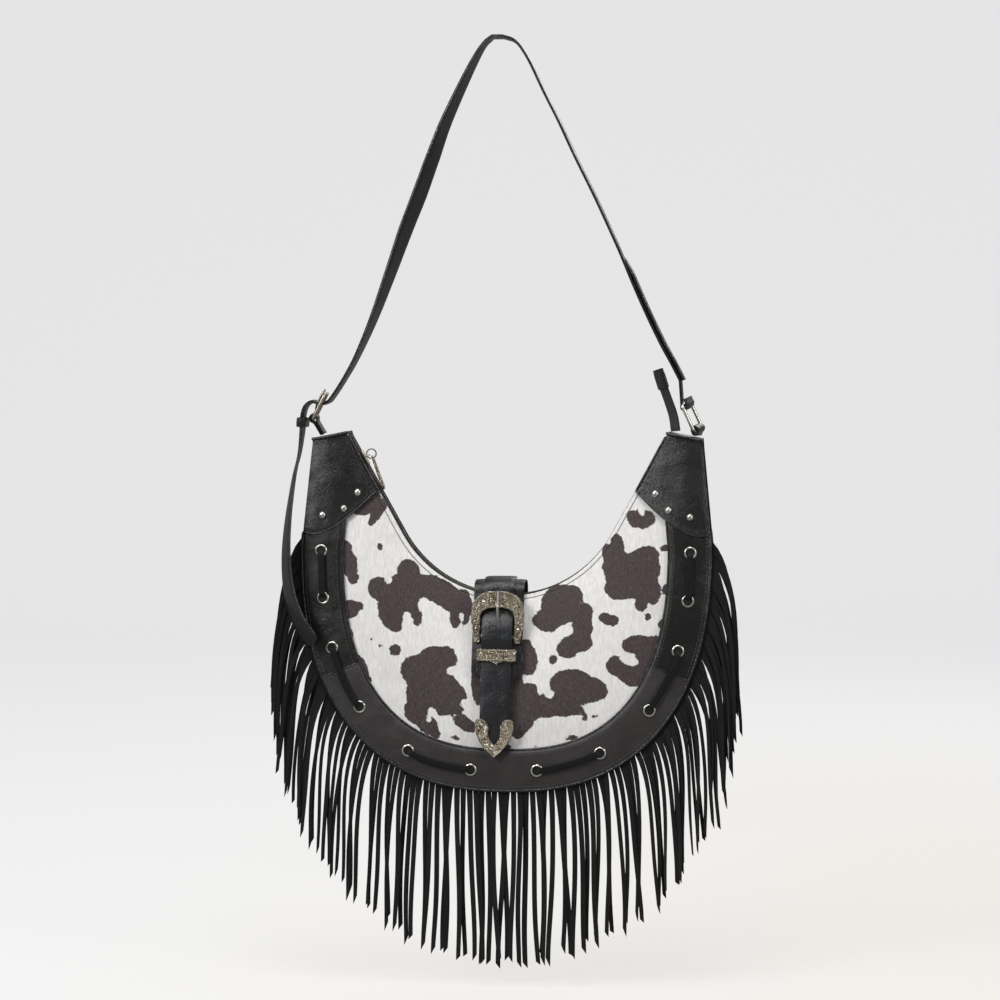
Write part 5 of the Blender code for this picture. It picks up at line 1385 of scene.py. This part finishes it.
def zip_end(hide, tape):
    """The zip's free end: a tape tail under a folded leather cap."""
    points = [Vector(p) * MM for p in ZIP_TAIL]
    tail = smooth_route(points[:4], 4)
    widths = [float(np.interp(i, (0, 4, 8, 12), (6.5, 6.2, 5.8, 5.8))) * MM for i in range(len(tail))]
    stations = route_stations(tail, widths, [ZIP_TAIL_TWIST] * len(tail))
    piece("dress_zip_tail", ribbon(stations, 1.8 * MM, 6, 0.2), tape, "bag")
    cap = smooth_route((points[3] + Vector((0.4, 0, -1.2)) * MM, points[4], points[5]), 5)
    widths = [float(np.interp(i, (0, 1, 8, 10), (7.6, 8.2, 8.2, 7.2))) * MM for i in range(len(cap))]
    stations = route_stations(cap, widths, [ZIP_TAIL_TWIST] * len(cap))
    piece("dress_zip_end_tab", ribbon(stations, 3.0 * MM, 8, 0.6), hide, "bag", ["zip_end_tab"], sharp=60)


def closure_base(drop):
    """How far the body stands out under the closure, across its whole width."""
    z = np.full(3, -INNER_RADIUS - max(drop, 0))
    x = CLOSURE_X + FLAP_WIDTH / 2 * np.array((-1, 0, 1))
    return float(half_depths(x, z).max())


def closure_path(drop, height):
    """A point at a drop below the zip line, a height in front of the body, in world metres."""
    x = CLOSURE_X + drop * math.tan(CLOSURE_LEAN)
    return BODY_PLACE + Vector((x, -closure_base(drop) - height, -INNER_RADIUS - drop))


def flap_height(drop):
    """The height of the flap's underside over the panel, rising over the snap."""
    rise = min(max((drop - 12 * MM) / (26 * MM), 0), 1)
    return 2 * GAP + 2 * (SNAP_RISE + GAP) * rise


def belt_height(drop):
    """The height of the belt's underside over the panel."""
    drops = (0, 6, 22, 32, 38, 50, 64, 95, 130)
    over_flap = flap_height(FLAP_LENGTH) + FLAP_THICKNESS + GAP
    over_bar = over_flap + 2 * BAR_RADIUS + 4 * GAP
    band = CHANNEL_HEIGHT + BAND_THICKNESS + 3 * GAP
    low = 3 * GAP + FLAP_THICKNESS
    heights = (low, low, over_bar, over_bar, over_flap, over_flap, over_flap, band, band + GAP)
    return float(np.interp(drop / MM, drops, heights))


def arch_points(height, steps):
    """The profile over the top of the bag, from the front at drop 0 to the back."""
    front = closure_path(0, height(0)) - BODY_PLACE
    reach = -front.y
    top = FLAP_ARCH + height(0) - GAP
    points = []
    for step in range(1, steps + 1):
        angle = math.pi * step / (steps + 1)
        lean = math.copysign(abs(math.cos(angle)) ** 0.7, math.cos(angle))
        points.append(BODY_PLACE + Vector((CLOSURE_X, -reach * lean,
                                           -INNER_RADIUS + top * math.sin(angle) ** 0.6)))
    points.append(BODY_PLACE + Vector((CLOSURE_X, reach, -INNER_RADIUS)))
    points.append(BODY_PLACE + Vector((CLOSURE_X, closure_base(FLAP_BACK_DROP) + height(0),
                                       -INNER_RADIUS - FLAP_BACK_DROP)))
    return points


def closure_stations(drops, height, thickness, halves, arch_share):
    """Stations of a strip down the front and over the top of the bag."""
    points = [closure_path(drop, height(drop) + thickness / 2) for drop in drops]
    arch = arch_points(lambda drop: height(drop) + thickness / 2, 18)
    arch = arch[:int(len(arch) * arch_share)]
    points += arch
    halves = list(halves) + [halves[-1]] * len(arch)
    return route_stations(points, halves, [0] * len(points), Vector((1, 0, 0)))


FLAP_STEPS = 12


def flap(hide):
    """The wide flap: its lower end rounded."""
    shares = [i / FLAP_STEPS for i in range(FLAP_STEPS + 1)]
    drops = [FLAP_LENGTH - FLAP_LENGTH * (1 - math.cos(math.pi / 2 * s)) * s ** 0.5 for s in shares]
    drops = sorted({max(d, 0.4 * MM) for d in drops}, reverse=True) + [0]
    halves = []
    for drop in drops:
        left_over = FLAP_LENGTH - drop
        rounding = min(1, (left_over + 0.6 * MM) / (6 * MM))
        halves.append(FLAP_WIDTH / 2 * (1 - 0.42 * (1 - rounding) ** 2.2))
    stations = closure_stations(drops, flap_height, FLAP_THICKNESS, halves, 1)
    piece("dress_closure_flap", ribbon(stations, FLAP_THICKNESS, 14, 0.5), hide, "closure", ["closure_flap"],
          sharp=60)
    return stations


def belt(hide):
    """The belt strip: slightly domed between raised stitched edges, down to its metal tip."""
    drops = [BELT_LENGTH * i / 46 for i in range(47)][::-1]
    halves = []
    for drop in drops:
        left_over = BELT_LENGTH - drop
        halves.append(BELT_WIDTH / 2 * min(1, 0.1 + 0.9 * left_over / (17 * MM)))
    stations = closure_stations(drops, belt_height, BELT_THICKNESS, halves, 0.62)
    piece("dress_belt", ribbon(stations, BELT_THICKNESS, 16, 0.5), hide, "closure", ["belt"], sharp=60)
    return stations


def anchor(hide):
    """The flap's sewn end on the back of the bag."""
    half = FLAP_WIDTH / 2
    start = FLAP_BACK_DROP + FLAP_THICKNESS
    end = ANCHOR_LENGTH + 4 * MM

    def place(u, v):
        drop = start + (end - start) * u
        rounding = np.clip((1 - u) / 0.3, 0, 1)
        width = half * (1 - 0.4 * (1 - rounding) ** 2)
        return np.stack((CLOSURE_X + width * (2 * v - 1), -INNER_RADIUS - drop), axis=-1)
    mesh = body_slab(16, 12, place, level(GAP + FLAP_THICKNESS), level(GAP), BACK, 0.4 * MM)
    piece("dress_flap_anchor", mesh, hide, "bag", ["flap_anchor"], sharp=60)


def closure_frame(drop, height):
    """A frame on the closure at a drop and height: X to the right, Y up, Z out of the front."""
    low = closure_path(drop + 6 * MM, height)
    high = closure_path(drop - 6 * MM, height)
    up = (high - low).normalized()
    right = Vector((1, 0, 0))
    right = (right - up * right.dot(up)).normalized()
    return frame_of(closure_path(drop, height), right, up)


def buckle_frame():
    """The buckle's own frame, tilted over the belt."""
    base = flap_height(FLAP_LENGTH) + FLAP_THICKNESS + GAP
    low = closure_path(FRAME_BAR_DROP, base)
    high = closure_path(FRAME_BAR_DROP - ARCH_HEIGHT, belt_height(0) + BELT_THICKNESS + 3.4 * MM)
    up = (high - low).normalized()
    right = Vector((1, 0, 0))
    right = (right - up * right.dot(up)).normalized()
    return frame_of(low, right, up)


def arch_outline(count):
    """The outer and inner curves of the buckle's arch, from right to left."""
    outer = []
    inner = []
    rise = ARCH_OPENING_HALF * 0.75
    for step in range(count + 1):
        angle = math.pi * step / count
        c = math.copysign(abs(math.cos(angle)) ** 0.75, math.cos(angle))
        s = math.sin(angle) ** 0.75
        outer.append((ARCH_HALF_WIDTH * c, ARCH_HEIGHT - ARCH_HALF_WIDTH + ARCH_HALF_WIDTH * s))
        inner.append((ARCH_OPENING_HALF * c, ARCH_HEIGHT - ARCH_BAND - rise + rise * s))
    return outer, inner


def beads(frame, points, height, radius, metal_mesh):
    """A row of small round beads along points in a frame's plane."""
    for x, y in points:
        bmesh.ops.create_uvsphere(metal_mesh, u_segments=6, v_segments=4, radius=radius,
                                  matrix=frame @ Matrix.Translation((x, y, height)))


def belt_buckle(etched, metal):
    """The western buckle: a broad arch whose arms taper, beaded on its edges, with a bar under the belt."""
    frame = buckle_frame()
    outer, inner = arch_outline(36)
    right_arm = [(ARCH_OPENING_HALF + ARM_END, 0)]
    left_arm = [(-ARCH_OPENING_HALF - ARM_END, 0)]
    outline = right_arm + outer + left_arm + [(-ARCH_OPENING_HALF, 0)] + inner[::-1]
    outline.append((ARCH_OPENING_HALF, 0))
    mesh = plate(outline, ARCH_THICKNESS, frame, 0.7 * MM, 3, False)
    bar_up = frame.to_3x3() @ Vector((0, FRAME_BAR_RISE, BAR_RADIUS))
    right = frame.to_3x3() @ Vector((14 * MM, 0, 0))
    add_mesh(mesh, tube([frame.translation + bar_up - right, frame.translation + bar_up + right], BAR_RADIUS))
    piece("dress_belt_buckle_frame", mesh, etched, "closure", ["belt_buckle_frame"], sharp=50)
    rim = bmesh.new()
    for curve, inset in ((outer, 1.5 * MM), (inner, -1.2 * MM)):
        path = measured([(x * (1 - inset / ARCH_HALF_WIDTH), y - inset * 0.6) for x, y in curve])
        count = int(path[1][-1] / (1.6 * MM))
        reach = np.linspace(0, path[1][-1], count)
        points = zip(np.interp(reach, path[1], path[0][:, 0]), np.interp(reach, path[1], path[0][:, 1]))
        beads(frame, points, ARCH_THICKNESS - 0.05 * MM, 0.75 * MM, rim)
    piece("buckle_beading", rim, metal, "closure")


def buckle_prong(metal):
    """The prong: from beside the bar, out through the belt's slot and over the arch."""
    frame = buckle_frame()
    knots = ((0, 7.3, 1.1), (0, 12, 0.3), (0, 16, -0.5), (0, 25.2, 3.9), (0, 29, 4.1), (0, 38.5, 4.0))
    route = smooth_route([frame @ (Vector(p) * MM) for p in knots], 5)
    radii = [1.15 - 0.45 * (i / (len(route) - 1)) ** 3 for i in range(len(route))]
    piece("dress_belt_buckle_prong", tube(route, PRONG_RADIUS, radii=radii), metal, "closure",
          ["belt_buckle_prong"])


def keeper(etched, metal):
    """The metal keeper: an engraved plate over the belt with plain borders and a point below."""
    leg = flap_height(FLAP_LENGTH) + FLAP_THICKNESS + GAP
    frame = closure_frame(KEEPER_DROP, leg)
    top = BELT_THICKNESS + GAP
    half = KEEPER_HALF_WIDTH
    high = KEEPER_HEIGHT / 2
    cut = 0.8 * MM
    outline = ((-half, -high + cut), (-half + cut, -high), (-5 * MM, -high), (-1.6 * MM, -high - 1.2 * MM),
               (0, -high - KEEPER_POINT), (1.6 * MM, -high - 1.2 * MM), (5 * MM, -high),
               (half - cut, -high), (half, -high + cut), (half, high - cut), (half - cut, high),
               (-half + cut, high), (-half, high - cut))
    mesh = plate(outline, METAL_PLATE, frame @ Matrix.Translation((0, 0, top)), 0.4 * MM)
    inner = BELT_WIDTH / 2 + 1.2 * MM
    for hand in (-1, 1):
        leg_outline = ((inner, -high + 0.5 * MM), (half, -high + 0.5 * MM), (half, high - 0.5 * MM),
                       (inner, high - 0.5 * MM))
        corners = [(hand * x, y) for x, y in leg_outline]
        add_mesh(mesh, plate(corners, top + 0.5 * METAL_PLATE, frame))
    piece("dress_belt_keeper", mesh, etched, "closure", ["belt_keeper"], sharp=50)
    border = bmesh.new()
    lift = top + METAL_PLATE
    for y in (-high + 1.0 * MM, high - 1.0 * MM):
        ends = [frame @ Vector((x, y, lift)) for x in (-half + 1 * MM, half - 1 * MM)]
        add_mesh(border, tube(ends, 0.4 * MM, resolution=2))
    piece("keeper_borders", border, metal, "closure")


TIP_OUTLINE = ((0, -1.5), (4, 2), (7, 5.1), (9.5, 8.5), (11.6, 11.8), (13.2, 15), (14.1, 18), (14.4, 21),
               (14.4, 25), (13.6, 27), (11.5, 27.6), (8.5, 26.8), (6.3, 25.6), (5, 23.8), (4.2, 20.5),
               (4.6, 17.4), (4.4, 15), (3, 11.6), (0.6, 8.5))


def belt_tip(etched, metal):
    """The metal tip: a V with two lobes and a notch between them, a raised rim round its edge."""
    height = belt_height(BELT_LENGTH) + BELT_THICKNESS + GAP
    frame = closure_frame(BELT_LENGTH, height)
    points = [(x * MM, y * MM) for x, y in TIP_OUTLINE]
    points += [(-x, y) for x, y in reversed(points[1:])]
    piece("dress_belt_tip", plate(points, METAL_PLATE, frame, 0.5 * MM, 3, False), etched, "closure",
          ["belt_tip"], sharp=50)
    rim = bmesh.new()
    for hand in (-1, 1):
        edge = [frame @ Vector((hand * (x * 0.88 + 0.1) * MM, (y + 1.1 - 0.06 * y) * MM, METAL_PLATE))
                for x, y in TIP_OUTLINE[:12]]
        add_mesh(rim, tube(smooth_route(edge, 2), 0.42 * MM, resolution=2))
    piece("tip_rim", rim, metal, "closure")


def snaps(metal):
    """The snap's two halves under the flap."""
    for node in ("snap_stud", "snap_socket"):
        target = frame_nodes[node]
        target.data.materials.clear()
        target.data.materials.append(metal)


def stitch_row(name, points, normals, surface, body, pitch=3.4, length=2.3, thick=0.42):
    """Thread stitches along a route of points, each a small bead lying on the surface."""
    path, reach = measured(points)
    normals = np.array(normals)
    count = int(reach[-1] / (pitch * MM))
    mesh = bmesh.new()
    for index in range(count):
        at = (index + 0.5) * reach[-1] / count
        spot = Vector([float(np.interp(at, reach, path[:, axis])) for axis in range(3)])
        ahead = Vector([float(np.interp(at + 0.5 * MM, reach, path[:, axis])) for axis in range(3)])
        behind = Vector([float(np.interp(at - 0.5 * MM, reach, path[:, axis])) for axis in range(3)])
        run = (ahead - behind).normalized()
        up = Vector([float(np.interp(at, reach, normals[:, axis])) for axis in range(3)])
        up = (up - run * up.dot(run)).normalized()
        frame = Matrix((run, up.cross(run), up)).transposed().to_4x4()
        frame.translation = spot
        size = Matrix.Diagonal((length / 2 * MM, thick * MM, thick * 0.7 * MM, 1))
        bmesh.ops.create_uvsphere(mesh, u_segments=6, v_segments=5, radius=1.0, matrix=frame @ size)
    return piece(name, mesh, surface, body, sharp=80)


def body_row(name, places, height, surface, side=FRONT, **sizes):
    """Stitches on the body along places in X and Z."""
    points = on_body(places, height, side)
    return stitch_row(name, points, body_normals(np.atleast_2d(places), side), surface, "bag", **sizes)


def edge_bead(name, points, radius, surface, body):
    """A thin rolled edge along a route."""
    return piece(name, tube([Vector(p) for p in points], radius, resolution=2), surface, body,
                 sharp=80)


def strip_rows(name, stations, inset, thickness, surface, body, start=0, end=None, front=1):
    """Stitches along both edges of a strip."""
    chosen = stations[start:end]
    for side in (-1, 1):
        points = []
        normals = []
        for middle, half, normal in chosen:
            reach = max(half.length - inset, 0)
            points.append(middle + half.normalized() * side * reach + normal * front * thickness / 2 * 0.92)
            normals.append(normal * front)
        word = "left" if side < 0 else "right"
        stitch_row(f"{name}_{word}", points, normals, surface, body)


# Stitches, in mm
BAND_STITCH = {"pitch": 3.0, "length": 2.2, "thick": 0.36}
BACK_STITCH = {"pitch": 3.2, "length": 2.2, "thick": 0.36}
CAP_STITCH = {"pitch": 3.0, "length": 2.1, "thick": 0.32}
BAND_STITCH_INSET = 3.2 * MM
RIM_STEPS = 260


def rim_line(reach, inset):
    """Places along the rim up to a share on each side, a length inside it."""
    return from_rim(np.linspace(-reach, reach, RIM_STEPS), np.full(RIM_STEPS, inset))


def band_trim(cord, hide):
    """Stitches near both edges of the band and the back, the band's two seams, and beads on the edges."""
    height = float(band_top(BAND_STITCH_INSET)) + 0.05 * MM
    for word, inset in (("rim", BAND_STITCH_INSET), ("inner", BAND_WIDTH - BAND_STITCH_INSET)):
        body_row(f"band_stitches_{word}", rim_line(band_reach(inset), inset), height, cord, **BAND_STITCH)
    for word, inset, height, radius in (("inner", BAND_WIDTH + 0.6 * MM, 1.1 * MM, 1.1 * MM),
                                        ("rim", 0.1 * MM, GAP + STRAND_THICKNESS + 0.9 * MM, 1.3 * MM)):
        places = rim_line(band_reach(inset), inset)
        edge_bead(f"band_{word}_bead", on_body(places, height), radius, hide, "bag")
    places = rim_line(cap_low(1), 0.3 * MM)
    edge_bead("back_rim_bead", on_body(places, 0.7 * MM, BACK), 1.1 * MM, hide, "bag")
    body_row("back_stitches", rim_line(cap_low(1), 5 * MM), 0.15 * MM, cord, BACK, **BACK_STITCH)
    for hand, word in ((-1, "left"), (1, "right")):
        share = hand * BAND_SEAM
        insets = np.linspace(1.5 * MM, BAND_WIDTH - 1.2 * MM, 14)
        places = from_rim(np.full(14, share), insets)
        edge_bead(f"band_seam_{word}", on_body(places, band_top(insets) - 0.1 * MM), 0.55 * MM, hide, "bag")


def cap_trim(cord, hide):
    """Piping along the caps' lower edges, a raised line on their inner edges, and stitches."""
    v = np.linspace(0.0, 1.0, 40)
    for hand, word in ((-1, "left"), (1, "right")):
        places = across_body(hand * (cap_low(v) + 0.001), v)
        edge_bead(f"cap_piping_{word}", on_body(places, GAP + cap_thickness(v) * 0.75), 0.9 * MM, hide, "bag")
        places = across_body(np.full(len(v), hand * 0.999), v)
        up = cap_top_direction(hand)
        lifted = on_body(places, GAP + CAP_TOP_THICKNESS) + np.array((up[0], 0, up[1])) * 1.2 * MM
        edge_bead(f"cap_top_bead_{word}", lifted, 1.3 * MM, hide, "bag")
        places = across_body(hand * (cap_low(v) + 0.013), v)[1:-1]
        body_row(f"cap_stitches_{word}", places, GAP + cap_thickness(v)[1:-1] * 0.98 + 0.1 * MM, cord,
                 **CAP_STITCH)
        steps = np.linspace(0.02, 0.96, 30)
        u = cap_low(0.0) + (1 - cap_low(0.0)) * steps
        places = across_body(hand * u, np.full(30, 0.07))
        lift = (GAP + CAP_THIN) * (1 - steps) + (GAP + CAP_TOP_THICKNESS) * steps
        body_row(f"cap_side_stitches_{word}", places, lift + 0.1 * MM, cord, **CAP_STITCH)
        places = across_body(hand * u, np.full(30, 0.012))
        edge_bead(f"cap_side_bead_{word}", on_body(places, lift), 0.9 * MM, hide, "bag")


def studio():
    """A pale floor that curves up into a backdrop, soft lamps and a plain world."""
    floor = bmesh.new()
    bmesh.ops.create_grid(floor, x_segments=2, y_segments=40, size=1.0)
    for vert in floor.verts:
        run = (vert.co.y + 1) / 2
        vert.co.x *= FLOOR_HALF_WIDTH
        vert.co.y = FLOOR_START + run * FLOOR_RUN
        past = max(vert.co.y - FLOOR_BEND, 0)
        vert.co.z = FLOOR_HEIGHT + min(past, FLOOR_BEND_RUN) ** 2 * 0.9 + max(past - FLOOR_BEND_RUN, 0) * 3
    data = bpy.data.meshes.new("studio_floor")
    floor.to_mesh(data)
    floor.free()
    data.shade_smooth()
    paint = Paint("pale_floor", roughness=0.9, specular_ior_level=0.1)
    place = paint.place()
    parts = paint.node("ShaderNodeSeparateXYZ", {}, {0: place})
    across = Value(paint, parts.outputs["X"])
    behind = Value(paint, parts.outputs["Y"])
    paint.colour(FLOOR_TONE)
    path = paint.node("ShaderNodeLightPath", {}, {})
    seen = Value(paint, path.outputs["Is Camera Ray"])
    seen = seen.most(Value(paint, path.outputs["Is Glossy Ray"]) * GLOSS_SHARE)
    # painted shadow: the front right of the floor glows darker and warmer than the rest of the backdrop
    painted_shadow_area = (1 - behind.step(0.5, 1.6)) * across.step(-0.5, 0.4)
    glow = paint.blend(painted_shadow_area, WALL_GLOW, FLOOR_SHADOW_GLOW)
    paint.feed(paint.shader.inputs["Emission Color"], paint.blend(seen, (0, 0, 0), glow))
    paint.shader.inputs["Emission Strength"].default_value = 1.0
    data.materials.append(paint.surface)
    made = bpy.data.objects.new("studio_floor", data)
    bpy.context.collection.objects.link(made)
    for name, place, size, power in LAMPS:
        data = bpy.data.lights.new(name, "AREA")
        data.size = size
        data.energy = power
        lamp = bpy.data.objects.new(name, data)
        lamp.location = place
        lamp.rotation_euler = (LAMP_AIM - Vector(place)).to_track_quat("-Z", "Y").to_euler()
        bpy.context.collection.objects.link(lamp)
    world_light()


def world_light():
    """A plain white world, pale where the camera sees it."""
    world = bpy.data.worlds.new("studio_world")
    bpy.context.scene.world = world
    world.use_nodes = True
    tree = world.node_tree
    back = tree.nodes["Background"]
    back.inputs["Color"].default_value = (1, 1, 1, 1)
    back.inputs["Strength"].default_value = WORLD_STRENGTH
    seen = tree.nodes.new("ShaderNodeBackground")
    seen.inputs["Color"].default_value = WORLD_SEEN
    seen.inputs["Strength"].default_value = 1.0
    path = tree.nodes.new("ShaderNodeLightPath")
    mix = tree.nodes.new("ShaderNodeMixShader")
    tree.links.new(path.outputs["Is Camera Ray"], mix.inputs[0])
    tree.links.new(back.outputs[0], mix.inputs[1])
    tree.links.new(seen.outputs[0], mix.inputs[2])
    tree.links.new(mix.outputs[0], tree.nodes["World Output"].inputs["Surface"])


def camera():
    """The camera at the photograph's angle."""
    data = bpy.data.cameras.new("photo_camera")
    data.sensor_width = SENSOR_WIDTH
    data.sensor_fit = "HORIZONTAL"
    data.lens = SENSOR_WIDTH * VIEW_DISTANCE / VIEW_SPAN
    data.dof.use_dof = False
    data.clip_start = 0.05
    way = Vector((math.sin(VIEW_SIDE) * math.cos(VIEW_RISE), -math.cos(VIEW_SIDE) * math.cos(VIEW_RISE),
                  math.sin(VIEW_RISE)))
    made = bpy.data.objects.new("photo_camera", data)
    made.location = VIEW_CENTRE + way * VIEW_DISTANCE
    made.rotation_euler = (-way).to_track_quat("-Z", "Y").to_euler()
    bpy.context.collection.objects.link(made)
    bpy.context.scene.camera = made


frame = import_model()
frame_nodes = frame["nodes"]
bpy.context.scene.view_settings.view_transform = "Standard"
camera()
studio()

glossy_leather = leather("black_leather", (0.007, 0.0066, 0.0066), 0.24)
piping_leather = leather("piping_leather", (0.012, 0.011, 0.011), 0.2)
band_leather = leather("charcoal_leather", (0.027, 0.0245, 0.0235), 0.40)
# painted shade: the band's sides are the same leather as its charcoal centre, made far darker where the light
# doesn't reach them
band_side_shaded_leather = leather("band_side_leather_painted_shade", (0.004, 0.0035, 0.003), 0.27)
back_leather = leather("back_leather", (0.02, 0.019, 0.019), 0.44, 1.4)
belt_leather = leather("belt_leather", (0.010, 0.011, 0.013), 0.24)
cloth = cow_hair()
fringe_suede = suede("black_suede", (0.006, 0.0052, 0.0052))
lace_suede = suede("lace_suede", (0.004, 0.0035, 0.0035))
tape = woven("zip_tape", (0.018, 0.018, 0.018))
etched = engraved("engraved_silver", 300.0)
antique = plain_metal("antique_silver", (0.50, 0.45, 0.37), 0.3)
bright = plain_metal("pale_metal", (0.72, 0.69, 0.64), 0.2)
dark_metal = plain_metal("dark_metal", (0.22, 0.2, 0.18), 0.35)
sewing = thread("black_thread", (0.075, 0.072, 0.07))
eyelet_hole_shadow = thread("eyelet_shadow", (0.004, 0.004, 0.004))

front_panel(cloth)
back_panel(back_leather)
gusset(back_leather)
horn_cap("dress_horn_cap_left", -1, glossy_leather, "horn_cap_left")
horn_cap("dress_horn_cap_right", 1, glossy_leather, "horn_cap_right")
# the band's two sides take the darker copy of its leather, in painted shade
band_section("dress_band_left", -1, 60, band_side_shaded_leather, "band_left")
band_section("dress_band_centre", 0, 150, band_leather, "band_centre")
band_section("dress_band_right", 1, 60, band_side_shaded_leather, "band_right")
eyelets(bright, eyelet_hole_shadow)
rivets(bright)
lace(lace_suede)
fringe(fringe_suede)
zip_tapes(tape)
zip_teeth(dark_metal)
zip_slider(antique)
zip_pull(dark_metal, etched)
flap_stations = flap(glossy_leather)
belt_stations = belt(belt_leather)
anchor(glossy_leather)
belt_buckle(etched, antique)
buckle_prong(bright)
keeper(etched, antique)
belt_tip(etched, antique)
snaps(bright)
shoulder_strap(glossy_leather)
strap_fittings(antique, bright, glossy_leather)
strap_keeper(glossy_leather)
zip_end(glossy_leather, tape)
band_trim(sewing, piping_leather)
cap_trim(sewing, piping_leather)
strip_rows("flap_stitches", flap_stations, 2.2 * MM, FLAP_THICKNESS, sewing, "closure")
strip_rows("belt_stitches", belt_stations, 2.0 * MM, BELT_THICKNESS, sewing, "closure", start=6)
